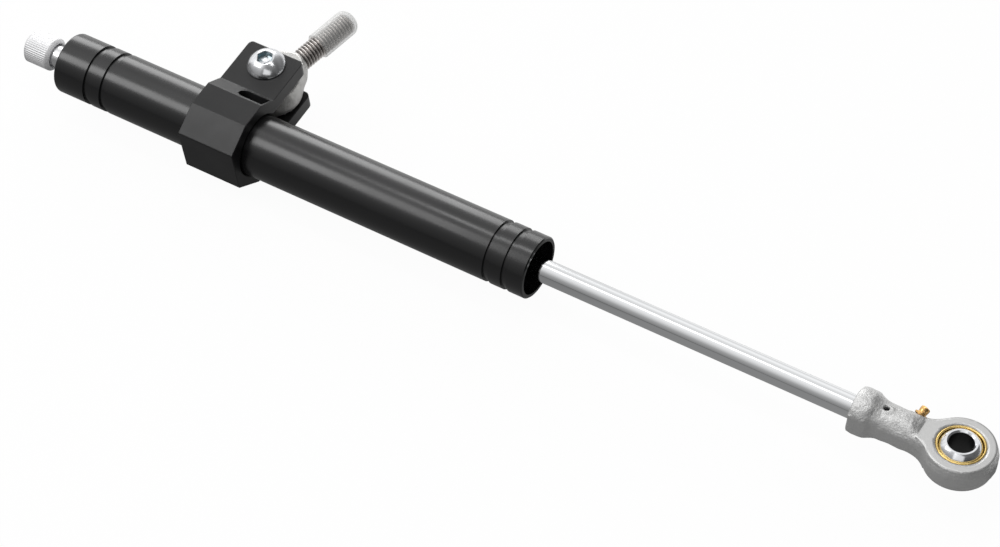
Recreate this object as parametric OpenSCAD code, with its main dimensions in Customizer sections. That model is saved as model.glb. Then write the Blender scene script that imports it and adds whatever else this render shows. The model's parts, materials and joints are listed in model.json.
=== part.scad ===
// Steering damper for a motorcycle: a twin-tube hydraulic damper with a screw adjuster on its closed
// end, a spherical rod end on its rod, and a clamp that holds a second spherical rod end on a stud.
// X runs along the damper from the closed end to the rod's end. Z is the bore of the rod's ball.
// The origin is the centre of that ball. Lengths are in millimetres, and the rod is drawn right out.

/* [Cylinder] */
// Outside diameter of the cylinder
body_d = 22; // [20:0.5:26]
// Wall of the cylinder
body_wall = 1.5; // [1.3:0.1:1.8]
// Length of the open mouth, from the rim to the circlip
mouth_depth = 6; // [4:0.5:10]
// Radius on the edge of the closed end
closed_edge_r = 0.9; // [0.4:0.1:1.2]
// Chamfer on the rim of the mouth
rim_chamfer = 0.4; // [0.2:0.1:0.6]
// Width of each turned groove at its floor
groove_w = 2; // [1:0.1:2.4]
// Depth of each turned groove
groove_depth = 0.7; // [0.3:0.1:0.7]
// Pitch of the two grooves of a pair
groove_pitch = 7; // [4:0.5:9]
// First groove, from the closed end
closed_groove = 13.9; // [9:0.1:20]
// First groove, from the mouth
open_groove = 7.1; // [5:0.1:15]

/* [Rod] */
// Diameter of the rod
rod_d = 8; // [7:0.5:9]
// Stroke of the damper
stroke = 110; // [60:1:140]
// Rod left showing when it is pushed right in
rod_spare = 5; // [3:0.5:10]
// Diameter of the thread that carries the piston
tail_d = 6; // [5:0.5:6]

/* [Inner cylinder and piston] */
// Width of the outer space, between the cylinder and the inner tube
outer_space = 1.5; // [1.3:0.1:1.7]
// Wall of the inner tube
liner_wall = 1; // [0.6:0.1:1]
// Length of the piston
piston_length = 10; // [8:0.5:14]
// Width of the piston's band
band_w = 4; // [3:0.5:5]
// Thickness of the piston's band
band_t = 0.9; // [0.7:0.1:1.1]
// Diameter of each port in the piston
piston_port_d = 1.6; // [1:0.1:2]
// Thickness of each piston shim
shim_t = 0.6; // [0.4:0.1:0.8]
// Height of the piston's nut
piston_nut_h = 5; // [4:0.5:6]
// Thread left standing out of the piston's nut
tail_proud = 1.5; // [0.5:0.5:3]
// Thickness of the cushion washer on the rod
cushion_t = 2; // [1:0.5:4]
// Length of the foam sleeve in the outer space
foam_length = 60; // [30:1:70]
// Start of the foam sleeve, from the valve body
foam_start = 8; // [2:0.5:12]

/* [Rod guide] */
// Length of the guide, without its spigot
guide_length = 16; // [15:0.5:20]
// Length of the spigots that centre the inner tube
spigot_length = 4; // [3:0.5:6]
// Outside diameter of the guide's bush
bush_d = 10; // [9.9:0.1:10.5]
// Length of the guide's bush
bush_length = 8; // [6:0.5:9]
// Share of the room round the rod that the seal and the wiper take
seal_share = 0.455; // [0.42:0.005:0.48]
// Depth of the seal
seal_t = 3.2; // [2.5:0.1:3.5]
// Depth of the wiper
wiper_t = 3; // [2.5:0.1:3.4]
// Thickness of the circlip
clip_t = 1; // [0.8:0.1:1.2]
// Depth of the circlip's groove in the wall
clip_groove = 0.5; // [0.4:0.1:0.6]

/* [Closed end] */
// Length of the end cap
cap_length = 15.1; // [13:0.1:18]
// How far the end cap's face is set in
cap_inset = 0.4; // [0.2:0.1:1]
// Length of the valve body, without its spigot
valve_length = 7; // [6:0.5:10]
// Bore of the needle's seat
seat_d = 2.2; // [1.8:0.1:2.6]
// Length of the seat's nose, which holds the check disc
nose_length = 1.5; // [1:0.1:2]
// Room between the rod's tail and the nose when the rod is right in
end_room = 5.5; // [3:0.5:10]
// Cord of the O-rings on the cap and the guide
ring_cord = 1.5; // [1.2:0.1:1.6]

/* [Adjuster] */
// Diameter of the knob
knob_d = 12; // [11:0.1:14]
// Length of the knob
knob_length = 11; // [10.5:0.5:16]
// Chamfer on both ends of the knob
knob_chamfer = 1; // [0.5:0.1:1.2]
// Diameter of the neck that the knob turns on
neck_d = 7.8; // [7.6:0.1:8.2]
// Length of neck that shows
neck_showing = 6.6; // [4:0.1:10]
// Width of the gap round the neck, inside the knob's mouth
neck_gap = 0.5; // [0.3:0.1:0.7]
// Thickness of the knob's end wall
knob_wall = 4; // [3.8:0.1:5]
// Diameter of the spindle
spindle_d = 4; // [3.6:0.1:4.4]
// Length of the spindle's tongue, which turns the needle
tongue_length = 4.5; // [4:0.1:5]
// Diameter of the needle's body
needle_d = 6; // [5.6:0.1:6.4]
// Diameter of the needle's stem
stem_d = 3.2; // [2.8:0.1:3.6]
// Travel of the needle, from open to shut
needle_travel = 1.9; // [1:0.1:2]
// Clicks of the knob in one turn
clicks = 8; // [6:1:12]

/* [Ball joints] */
// Bore of each ball
ball_bore = 8; // [6:0.5:8.5]
// Diameter of each ball
ball_d = 15.875; // [15.4:0.005:16.2]
// Width of each ball over its flats
ball_width = 12; // [11:0.1:12.4]
// Thickness of each head, which is the width of its race
head_t = 9; // [8:0.1:9.6]
// Outside diameter of the race
race_d = 18.6; // [18:0.1:19.4]
// Outside diameter of the race where it is staked at the faces
race_face_d = 15.8; // [15.4:0.1:16.8]
// Diameter of the race's countersink at the faces
race_mouth_d = 14; // [13.6:0.1:14.6]

/* [Rod's end] */
// Diameter of the head
head_d = 24.4; // [23:0.1:28]
// Diameter of the head's machined faces
head_face_d = 22.2; // [21:0.1:22.8]
// From the ball's centre to the end of the collar
head_reach = 36; // [34:0.5:44]
// Diameter of the neck
eye_neck_d = 12.6; // [12:0.1:14]
// Across the neck's forged sides
eye_neck_flats = 12; // [11.4:0.1:12]
// Diameter of the collar
collar_d = 16.2; // [15:0.1:18]
// Length of the collar
collar_length = 6.6; // [5:0.1:9]
// Across the collar's two spanner flats
collar_flats = 14.4; // [13.6:0.1:14.8]
// Radius between the neck and the head
eye_fillet_r = 8; // [5:0.5:10]
// Depth of the socket for the rod
rod_socket = 20; // [14:0.5:21]
// Diameter of the witness hole
witness_d = 2.3; // [1.5:0.1:2.5]
// Witness hole, from the ball's centre
witness_x = 25.5; // [22:0.1:27]

/* [Grease nipple] */
// Diameter of the nipple's flange
nipple_flange_d = 4.4; // [4:0.1:5]
// Diameter of the nipple's body
nipple_d = 3.2; // [2.6:0.1:3.6]
// Height of the nipple
nipple_h = 3.2; // [2.6:0.1:4]
// Nipple, from the ball's centre
nipple_x = 16.2; // [15:0.1:18]

/* [Stud's end] */
// Diameter of the head
stud_head_d = 22.8; // [22:0.1:24]
// Diameter of the head's machined faces
stud_face_d = 21; // [20.5:0.1:21.6]
// Outside diameter of the stud's thread
stud_d = 7.9; // [7:0.1:8.4]
// Diameter of the head's nose, where it turns in to the thread
stud_nose_d = 13.2; // [12:0.1:15]
// Turn of the nose, from the ball's centre
stud_nose_x = 11.6; // [11:0.1:12.4]
// From the ball's centre to the end of the stud
stud_reach = 37.3; // [34:0.1:50]
// From the ball's centre to the start of the thread
stud_thread_start = 13.8; // [13.4:0.1:18]
// Turn of the stud about the clamp bolt, towards the mouth
stud_yaw = 12.8; // [-30:0.1:30]
// Outside diameter of the cap over the thread
tip_cap_d = 9.6; // [9.4:0.1:11]
// From the ball's centre to the mouth of the cap
tip_cap_start = 22.8; // [20:0.1:30]
// Thickness of the cap's end
tip_cap_end = 1.9; // [1:0.1:3]

/* [Clamp] */
// Width of the clamp along the cylinder
clamp_w = 22; // [18:0.5:26]
// Middle of the clamp, from the closed end
clamp_from_end = 68.8; // [40:0.1:120]
// Turn of the clamp about the cylinder
clamp_tilt = 9.4; // [-20:0.1:20]
// From the cylinder's axis to the clamp's front face
clamp_front = 14.5; // [13.5:0.1:16]
// From the cylinder's axis to the clamp's top and bottom faces
clamp_top = 15.5; // [14.5:0.1:17]
// Upper end of the front face
front_high = 10; // [6:0.1:11]
// Lower end of the front face
front_low = 7.3; // [6:0.1:11]
// Front edge of the top face, in front of the axis
top_front = 4.4; // [2:0.1:6]
// Rear edge of the top face, behind the axis
top_rear = 5.4; // [3:0.1:6]
// Start of the ears, behind the axis
ear_start = 11.7; // [11:0.1:12.5]
// End of the ears, behind the axis
ear_reach = 30.7; // [28:0.1:34]
// Thickness of each ear
ear_t = 5.2; // [4:0.1:5.6]
// Clamp bolt, behind the cylinder's axis
bolt_reach = 23.8; // [23.4:0.1:24.6]
// Radius on the ears' corners
ear_corner_r = 2; // [0.5:0.1:4]
// Radius on the clamp's long edges
clamp_edge_r = 0.5; // [0.2:0.1:1]
// Width of the pocket in the slope behind the top face
pocket_w = 5.6; // [4:0.1:6]
// Length of the pocket
pocket_length = 10.7; // [7:0.1:14]
// Depth of the pocket
pocket_depth = 3.2; // [1.5:0.1:3.4]
// Lip left between the pocket and the clamp's face
pocket_lip = 0.7; // [0.4:0.1:1.5]

/* [Clamp bolt] */
// Diameter of the bolt's shank
bolt_d = 7.94; // [6:0.01:8.4]
// Diameter of the button head
button_d = 13.6; // [12:0.1:15]
// Height of the button head
button_h = 4; // [3.5:0.1:5]
// Across the flats of the socket
socket_flats = 5; // [4:0.5:6]
// Depth of the socket
socket_depth = 2.4; // [2:0.1:3]

/* [Clearances] */
// Play of a running or sliding fit, on the radius
run_play = 0.04; // [0.02:0.01:0.08]
// Play of a seated or screwed fit, on the radius
seat_play = 0.02; // [0.01:0.01:0.04]
// Gap left between faces that close on each other
face_gap = 0.1; // [0.05:0.05:0.2]

/* [Hidden] */
$fn = 72;
CUT = 1;

rim_x = -(head_reach + rod_spare + stroke);
clip_x = rim_x - mouth_depth - clip_t;
guide_x = clip_x - guide_length;
guide_in_x = guide_x - spigot_length;
shim_gap = 0.3;
cushion_x = guide_in_x - shim_gap - cushion_t;
piston_x1 = cushion_x - shim_t;
piston_x0 = piston_x1 - piston_length;
piston_nut_x = piston_x0 - shim_t - piston_nut_h;
tail_x = piston_nut_x - tail_proud;
nose_x = tail_x - stroke - end_room;
spigot_x1 = nose_x - nose_length;
valve_x1 = spigot_x1 - spigot_length;
valve_x0 = valve_x1 - valve_length;
cap_x0 = valve_x0 - cap_length;
closed_x = cap_x0 - cap_inset;

tube_bore_d = body_d - 2 * body_wall;
plug_d = tube_bore_d - 2 * seat_play;
liner_d = tube_bore_d - 2 * outer_space;
bore_d = liner_d - 2 * liner_wall;
seal_d = rod_d + seal_share * (tube_bore_d - rod_d);
ring_depth = ring_cord - seat_play;

knob_x1 = closed_x - neck_showing;
knob_x0 = knob_x1 - knob_length;
hub_x = knob_x0 + knob_wall;
knob_land = 3.5;
neck_socket = 7;
sleeve_x0 = hub_x + face_gap;
sleeve_x1 = closed_x + neck_socket;
spindle_socket = 1.6;
screw_head_d = 4.8;
screw_head_depth = 1.4;
spindle_x0 = hub_x - spindle_socket;
tongue_t = 1.6;
spindle_x1 = sleeve_x1 - 0.5;
needle_x0 = spindle_x1 + 0.6;
slot_x = spindle_x1 + tongue_length + 0.5;
needle_ring = 1;
needle_ring_x = slot_x + 0.4 + needle_ring / 2;
needle_body_x1 = needle_ring_x + needle_ring / 2 + 0.8;
chamber_depth = 3;
seat_x = valve_x0 + chamber_depth;
taper = 3;
taper_x = seat_x - taper * (stem_d / 2 - seat_d / 2 + run_play) - needle_travel;
tip_r = 0.3;
detent_d = 1.5;
detent_r = 3;
detent_hole = 2.4;
detent_wire = 0.3;
detent_x = sleeve_x0 - detent_d / 2 - seat_play;

eye_neck_r = eye_neck_d / 2;
eye_socket_x = -head_reach + rod_socket;
rod_tip_x = eye_socket_x - 1;
step_slope = 30;

gap_half = ball_width / 2 + face_gap;
ear_half = gap_half + ear_t;
clamp_x = closed_x + clamp_from_end;
bolt_tip = ear_half - 0.4;

// A body turned about X. The outline is a list of [x, radius].
module turned(outline) {
    rotate([0, 90, 0])
        rotate_extrude($fn = 96)
            polygon([for (p = outline) [p[1], p[0]]]);
}

// A round bar along X
module bar(d, x0, x1) {
    translate([x0, 0, 0])
        rotate([0, 90, 0])
            cylinder(d = d, h = x1 - x0);
}

// A round tube along X
module pipe(d, bore, x0, x1) {
    difference() {
        bar(d, x0, x1);
        bar(bore, x0 - CUT, x1 + CUT);
    }
}

// A ring of round cord about X
module cord_ring(middle_d, cord, x) {
    translate([x, 0, 0])
        rotate([0, 90, 0])
            rotate_extrude($fn = 96)
                translate([middle_d / 2, 0])
                    circle(d = cord, $fn = 24);
}

// Holes of one diameter on a circle about X
module hole_circle(count, d, circle_r, x0, x1) {
    for (i = [0 : count - 1])
        rotate([i * 360 / count, 0, 0])
            translate([0, circle_r, 0])
                bar(d, x0, x1);
}

// Points of an arc in the plane of an outline
function arc(centre, r, from, to, steps = 6) =
    [for (i = [0 : steps]) let (a = from + (to - from) * i / steps) centre + r * [cos(a), sin(a)]];

// A closed outline with every corner rounded to radius r
function eased(points, r, steps = 4) =
    let (n = len(points))
    [for (i = [0 : n - 1])
        let (p = points[i],
             u = (points[(i + n - 1) % n] - p) / norm(points[(i + n - 1) % n] - p),
             v = (points[(i + 1) % n] - p) / norm(points[(i + 1) % n] - p),
             half = acos(u * v) / 2,
             centre = p + (u + v) / norm(u + v) * r / sin(half),
             start = p + u * r / tan(half) - centre,
             end = p + v * r / tan(half) - centre,
             from = atan2(start[1], start[0]),
             sweep = (atan2(end[1], end[0]) - from + 540) % 360 - 180)
        for (k = [0 : steps]) centre + r * [cos(from + sweep * k / steps), sin(from + sweep * k / steps)]];

// One turned groove round the cylinder, with sides that lean out a little
module body_groove(x) {
    lean = 0.15;
    half = groove_w / 2;
    floor_r = body_d / 2 - groove_depth;
    out = body_d / 2 + CUT;
    run = lean * (groove_depth + CUT) / groove_depth;
    turned([[x - half - run, out], [x - half, floor_r], [x + half, floor_r], [x + half + run, out]]);
}

module cylinder_tube() {
    color("#1c1c1e")
    difference() {
        turned(concat(
            [[closed_x, 0]],
            arc([closed_x + closed_edge_r, body_d / 2 - closed_edge_r], closed_edge_r, 180, 90),
            [[rim_x - rim_chamfer, body_d / 2], [rim_x, body_d / 2 - rim_chamfer], [rim_x, 0]]));
        bar(tube_bore_d, closed_x - CUT, rim_x + CUT);
        bar(tube_bore_d + 2 * clip_groove, clip_x - seat_play, clip_x + clip_t + seat_play);
        for (i = [0 : 1]) {
            body_groove(closed_x + closed_groove + i * groove_pitch);
            body_groove(rim_x - open_groove - i * groove_pitch);
        }
    }
}

module end_cap() {
    ring_x = cap_x0 + 0.72 * cap_length;
    spanner_r = (neck_d + tube_bore_d) / 4;
    color("#3a3a3c")
    difference() {
        bar(plug_d, cap_x0, cap_x0 + cap_length);
        bar(neck_d + 2 * seat_play, cap_x0 - CUT, sleeve_x1);
        bar(needle_d + 2 * run_play, sleeve_x1 - CUT, valve_x0 + CUT);
        pipe(plug_d + CUT, plug_d - 2 * ring_depth, ring_x - 0.6 * ring_cord, ring_x + 0.6 * ring_cord);
        hole_circle(2, 2, spanner_r, cap_x0 - CUT, cap_x0 + 3);
    }
}

module end_cap_oring() {
    color("#151515")
        cord_ring(tube_bore_d - ring_cord - seat_play, ring_cord - 2 * seat_play, cap_x0 + 0.72 * cap_length);
}

// The foot valve: the needle's seat in its middle, ports under the check disc, and slots at its rim
// that lead to the space outside the inner tube
module valve_body() {
    chamber_d = needle_d + 4;
    ports = 6;
    color("#8f8f92")
    difference() {
        union() {
            bar(plug_d, valve_x0, valve_x1);
            bar(bore_d - 2 * seat_play, valve_x1 - CUT, spigot_x1);
            bar(seat_d + 1.8, spigot_x1 - CUT, nose_x);
        }
        bar(chamber_d, valve_x0 - CUT, seat_x);
        bar(seat_d, valve_x0, nose_x + CUT);
        hole_circle(ports, 1.6, chamber_d / 2 - 1.2, valve_x0 + CUT, spigot_x1 + CUT);
        for (i = [0 : 3])
            rotate([i * 90, 0, 0])
                translate([valve_x0 - CUT, chamber_d / 2 - CUT, -0.9])
                    cube([CUT + 1.8, plug_d, 1.8]);
        hole_circle(4, 1.8, plug_d / 2, valve_x0 - CUT, valve_x1 + CUT);
    }
}

module check_disc() {
    color("#b9bcc0")
        pipe(bore_d - 1.6, seat_d + 1.8 + 2 * seat_play, spigot_x1, spigot_x1 + 0.3);
}

module inner_tube() {
    color("#a9abad")
    difference() {
        pipe(liner_d, bore_d, valve_x1, guide_x);
        for (a = [0 : 90 : 270])
            rotate([a, 0, 0])
                translate([guide_in_x - 2, 0, 0])
                    cylinder(d = 1.5, h = liner_d);
    }
}

module foam_sleeve() {
    color("#4a4a4a")
        pipe(tube_bore_d - 2 * face_gap, liner_d + 2 * face_gap,
             valve_x1 + foam_start, valve_x1 + foam_start + foam_length);
}

seal_x0 = clip_x - wiper_t - 1 - seal_t;

module rod_guide() {
    ring_x = guide_x + 0.3 * guide_length;
    color("#77797c")
    difference() {
        union() {
            bar(plug_d, guide_x, clip_x);
            bar(bore_d - 2 * seat_play, guide_in_x, guide_x + CUT);
        }
        bar(rod_d + 0.6, guide_in_x - CUT, clip_x + CUT);
        bar(bush_d + 2 * seat_play, guide_in_x - CUT, guide_in_x + bush_length);
        bar(seal_d + 2 * seat_play, seal_x0, seal_x0 + seal_t);
        bar(rod_d + 2, seal_x0, clip_x);
        bar(seal_d + 2 * seat_play, clip_x - wiper_t, clip_x + CUT);
        pipe(plug_d + CUT, plug_d - 2 * ring_depth, ring_x - 0.6 * ring_cord, ring_x + 0.6 * ring_cord);
    }
}

module guide_bush() {
    color("#a8844c")
        pipe(bush_d, rod_d + 2 * run_play, guide_in_x, guide_in_x + bush_length);
}

module guide_oring() {
    color("#151515")
        cord_ring(tube_bore_d - ring_cord - seat_play, ring_cord - 2 * seat_play,
                  guide_x + 0.3 * guide_length);
}

// A cup seal, with its two lips towards the oil
module rod_seal() {
    inner_r = rod_d / 2 + run_play;
    outer_r = seal_d / 2;
    middle_r = (inner_r + outer_r) / 2;
    color("#202020")
        turned([
            [seal_x0, inner_r], [seal_x0, inner_r + 0.7], [seal_x0 + 0.5 * seal_t, middle_r],
            [seal_x0, outer_r - 0.7], [seal_x0, outer_r], [seal_x0 + seal_t, outer_r],
            [seal_x0 + seal_t, inner_r]]);
}

// The wiper, with its lip standing out of the guide
module rod_wiper() {
    inner_r = rod_d / 2 + run_play;
    outer_r = seal_d / 2;
    lip_r = inner_r + 0.6 * (outer_r - inner_r);
    color("#181818")
        turned([
            [clip_x - wiper_t, inner_r + 0.8], [clip_x - wiper_t, outer_r], [clip_x, outer_r],
            [clip_x, lip_r], [clip_x + 1.6, inner_r + 0.5], [clip_x + 1.6, inner_r],
            [clip_x - 0.5 * wiper_t, inner_r]]);
}

// An internal circlip: an open ring with two eyes for the pliers
module guide_circlip() {
    ring_d = tube_bore_d + 2 * clip_groove - 2 * seat_play;
    band = 1.7;
    eye_r = 1.3;
    eye_at = ring_d / 2 - band - 0.3;
    spread = 16;
    color("#26262a")
    translate([clip_x, 0, 0])
        rotate([90, 0, 90])
            linear_extrude(clip_t)
                difference() {
                    union() {
                        difference() {
                            circle(d = ring_d);
                            circle(d = ring_d - 2 * band);
                            rotate(-spread)
                                square([ring_d, 0.01 + ring_d * sin(spread)]);
                            rotate(spread)
                                mirror([0, 1])
                                    square([ring_d, 0.01 + ring_d * sin(spread)]);
                        }
                        for (side = [-1, 1])
                            rotate(side * spread)
                                translate([eye_at, side * eye_r * 0.8])
                                    circle(r = eye_r);
                    }
                    for (side = [-1, 1])
                        rotate(side * spread)
                            translate([eye_at, side * eye_r * 0.8])
                                circle(d = 1);
                }
}

module adjuster_sleeve() {
    color("#c9cbce")
    difference() {
        bar(neck_d, sleeve_x0, sleeve_x1);
        bar(spindle_d + 2 * run_play, sleeve_x0 - CUT, sleeve_x1 + CUT);
        for (i = [0 : clicks - 1])
            rotate([i * 360 / clicks, 0, 0])
                translate([sleeve_x0 - CUT, 0, detent_r])
                    rotate([0, 90, 0])
                        cylinder(d1 = 0.9 + CUT, d2 = 0, h = 0.3 + 1.3 * CUT, $fn = 24);
    }
}

// The knob: a cup with a bearing land at its inner end and a wider gap at its mouth
module adjuster_knob() {
    r = knob_d / 2;
    c = knob_chamfer;
    color("#d4d6d8")
    difference() {
        turned([
            [knob_x0, 0], [knob_x0, r - c], [knob_x0 + c, r], [knob_x1 - c, r], [knob_x1, r - c],
            [knob_x1, 0]]);
        bar(neck_d + 2 * run_play, hub_x, knob_x1 + CUT);
        bar(neck_d + 2 * neck_gap, hub_x + knob_land, knob_x1 + CUT);
        intersection() {
            bar(spindle_d + 2 * seat_play, spindle_x0, hub_x + CUT);
            translate([spindle_x0 - CUT, -spindle_d, -spindle_d])
                cube([spindle_socket + 3 * CUT, 2 * spindle_d, spindle_d * 1.3 + seat_play]);
        }
        bar(2.4, knob_x0 - CUT, hub_x);
        bar(screw_head_d + 0.4, knob_x0 - CUT, knob_x0 + screw_head_depth);
        translate([0, 0, detent_r])
            bar(detent_d + 2 * seat_play, hub_x - detent_hole, hub_x + CUT);
    }
}

module knob_screw() {
    head_x = knob_x0 + 0.2;
    color("#9a9ca0")
    difference() {
        union() {
            bar(screw_head_d, head_x, knob_x0 + screw_head_depth);
            bar(2, head_x, spindle_x0 + 3);
        }
        bar(1.5 / cos(30), head_x - CUT, head_x + 0.8, $fn = 6);
    }
}

module adjuster_spindle() {
    color("#b4b6ba")
    difference() {
        union() {
            bar(spindle_d, spindle_x0, spindle_x1);
            translate([spindle_x1 - CUT, -tongue_t / 2, -spindle_d / 2 + 0.3])
                cube([CUT + tongue_length, tongue_t, spindle_d - 0.6]);
        }
        translate([spindle_x0 - CUT, -spindle_d, 0.3 * spindle_d])
            cube([spindle_socket + CUT, 2 * spindle_d, spindle_d]);
        bar(2 + 2 * seat_play, spindle_x0 - CUT, spindle_x0 + 3.5);
    }
}

module detent_ball() {
    color("#dadde0")
    translate([detent_x, 0, detent_r])
        sphere(d = detent_d);
}

// The detent's spring, drawn pressed together, with its coils touching
module detent_spring() {
    x0 = hub_x - detent_hole + detent_wire / 2 + seat_play;
    x1 = detent_x - detent_d / 2 - detent_wire / 2 - seat_play;
    gaps = ceil((x1 - x0) / (0.85 * detent_wire));
    color("#8a8c90")
    translate([0, 0, detent_r])
        for (i = [0 : gaps])
            cord_ring(detent_d - detent_wire - 2 * seat_play, detent_wire, x0 + (x1 - x0) * i / gaps);
}

module adjuster_needle() {
    color("#c2a25c")
    difference() {
        turned([
            [needle_x0, 0], [needle_x0, needle_d / 2], [needle_body_x1, needle_d / 2],
            [needle_body_x1, stem_d / 2], [taper_x, stem_d / 2],
            [taper_x + taper * (stem_d / 2 - tip_r), tip_r], [taper_x + taper * (stem_d / 2 - tip_r), 0]]);
        translate([needle_x0 - CUT, -tongue_t / 2 - run_play, -needle_d])
            cube([slot_x - needle_x0 + CUT, tongue_t + 2 * run_play, 2 * needle_d]);
        pipe(needle_d + CUT, needle_d - 1.6, needle_ring_x - needle_ring / 2, needle_ring_x + needle_ring / 2);
    }
}

module needle_oring() {
    cord = 0.8 + run_play - 2 * seat_play;
    color("#151515")
        cord_ring(needle_d - 1.6 + cord + seat_play, cord - seat_play, needle_ring_x);
}

module piston_rod() {
    color("#e4e6e8")
        turned([
            [tail_x, 0], [tail_x, tail_d / 2 - 0.5], [tail_x + 0.5, tail_d / 2], [cushion_x, tail_d / 2],
            [cushion_x, rod_d / 2], [rod_tip_x - 0.8, rod_d / 2], [rod_tip_x, rod_d / 2 - 0.8],
            [rod_tip_x, 0]]);
}

module piston() {
    middle = (piston_x0 + piston_x1) / 2;
    piston_d = bore_d - 4 * run_play;
    port_r = (tail_d + bore_d) / 4;
    color("#b7b9bc")
    difference() {
        bar(piston_d, piston_x0, piston_x1);
        bar(tail_d + 2 * seat_play, piston_x0 - CUT, piston_x1 + CUT);
        pipe(bore_d + CUT, bore_d - 2 * band_t - 4 * run_play, middle - band_w / 2 - run_play,
             middle + band_w / 2 + run_play);
        hole_circle(4, piston_port_d, port_r - 0.2, piston_x0 - CUT, piston_x1 + CUT);
    }
}

module piston_band() {
    middle = (piston_x0 + piston_x1) / 2;
    color("#7a6a52")
        pipe(bore_d - 2 * run_play, bore_d - 2 * band_t - 2 * run_play, middle - band_w / 2,
             middle + band_w / 2);
}

module piston_shims() {
    color("#c8cacd")
    for (x = [piston_x0 - shim_t, piston_x1])
        pipe(bore_d - 2, tail_d + 2 * seat_play, x, x + shim_t);
}

module piston_nut() {
    flats = tail_d + 4;
    color("#b0b2b5")
    difference() {
        translate([piston_nut_x, 0, 0])
            rotate([0, 90, 0])
                cylinder(d = flats / cos(30), h = piston_nut_h, $fn = 6);
        bar(tail_d + 2 * seat_play, piston_nut_x - CUT, piston_nut_x + piston_nut_h + CUT);
    }
}

module cushion_washer() {
    color("#2a2a2a")
        pipe((2 * bore_d + rod_d) / 3, rod_d + 2 * seat_play, cushion_x, cushion_x + cushion_t);
}

// A neck's outline on one side: straight, then a round that runs into the head
function eye_neck(neck_r, head_r, fillet_r) =
    let (cx = -sqrt(pow(head_r + fillet_r, 2) - pow(neck_r + fillet_r, 2)),
         stop = atan2(-(neck_r + fillet_r), -cx),
         last = [cx + fillet_r * cos(stop), neck_r + fillet_r + fillet_r * sin(stop)])
    concat(arc([cx, neck_r + fillet_r], fillet_r, -90, stop, 10), [last + [3, 0], [last[0] + 3, 0]]);

// A head about Z as forged: a round side with draft, and stock left on both faces for the cutter
module eye_head(d, face_d) {
    side = 0.3 * head_t;
    raw = 0.6;
    raw_r = face_d / 2 - raw * (d - face_d) / 2 / (head_t / 2 - side);
    rotate_extrude($fn = 96)
        polygon([
            [0, -head_t / 2 - raw], [raw_r, -head_t / 2 - raw], [d / 2, -side], [d / 2, side],
            [raw_r, head_t / 2 + raw], [0, head_t / 2 + raw]]);
}

// The seat of a race in a head
module race_seat() {
    grow = seat_play;
    straight = 0.32 * head_t;
    rotate_extrude($fn = 96)
        polygon([
            [0, -head_t / 2 - CUT], [race_face_d / 2 + grow + 0.25, -head_t / 2 - CUT],
            [race_face_d / 2 + grow + 0.25, -head_t / 2 + 0.25], [race_face_d / 2 + grow, -head_t / 2 + 0.25],
            [race_d / 2 + grow, -straight], [race_d / 2 + grow, straight],
            [race_face_d / 2 + grow, head_t / 2 - 0.25], [race_face_d / 2 + grow + 0.25, head_t / 2 - 0.25],
            [race_face_d / 2 + grow + 0.25, head_t / 2 + CUT], [0, head_t / 2 + CUT]]);
}

// The room over and under a head that its cutter clears, with a slope up to the neck
module face_cut(step_x, reach) {
    rise = 8;
    for (side = [0, 1])
        mirror([0, 0, side])
            rotate([90, 0, 0])
                linear_extrude(4 * reach, center = true)
                    polygon([
                        [-step_x, head_t / 2], [reach, head_t / 2], [reach, head_t / 2 + rise],
                        [-step_x - rise / tan(step_slope), head_t / 2 + rise]]);
}

module race() {
    straight = 0.32 * head_t;
    difference() {
        rotate_extrude($fn = 96)
            polygon([
                [4, -head_t / 2], [race_face_d / 2, -head_t / 2], [race_face_d / 2, -head_t / 2 + 0.25],
                [race_d / 2, -straight], [race_d / 2, straight], [race_face_d / 2, head_t / 2 - 0.25],
                [race_face_d / 2, head_t / 2], [4, head_t / 2]]);
        sphere(d = ball_d + 2 * run_play);
        for (side = [0, 1])
            mirror([0, 0, side])
                translate([0, 0, head_t / 2 - 0.8])
                    cylinder(d1 = race_mouth_d - 1.6, d2 = race_mouth_d + 0.002, h = 0.801);
    }
}

module ball() {
    chamfer = 0.6;
    difference() {
        sphere(d = ball_d, $fn = 96);
        for (side = [0, 1])
            mirror([0, 0, side]) {
                translate([-ball_d, -ball_d, ball_width / 2])
                    cube([2 * ball_d, 2 * ball_d, ball_d]);
                translate([0, 0, ball_width / 2 - chamfer])
                    cylinder(d1 = ball_bore, d2 = ball_bore + 2 * chamfer + 0.002, h = chamfer + 0.001);
            }
        translate([0, 0, -ball_d])
            cylinder(d = ball_bore, h = 2 * ball_d);
    }
}

nipple_tilt = 30;
nipple_lean = 14;
nipple_thread = 1.6;

// Places its children on the nipple's axis, which is their own Z, with the neck's skin at zero
module at_nipple() {
    translate([-nipple_x, 0, 0])
        rotate([nipple_tilt - 90, 0, 0])
            translate([0, 0, eye_neck_r - 0.2])
                rotate([0, nipple_lean, 0])
                    children();
}

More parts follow.
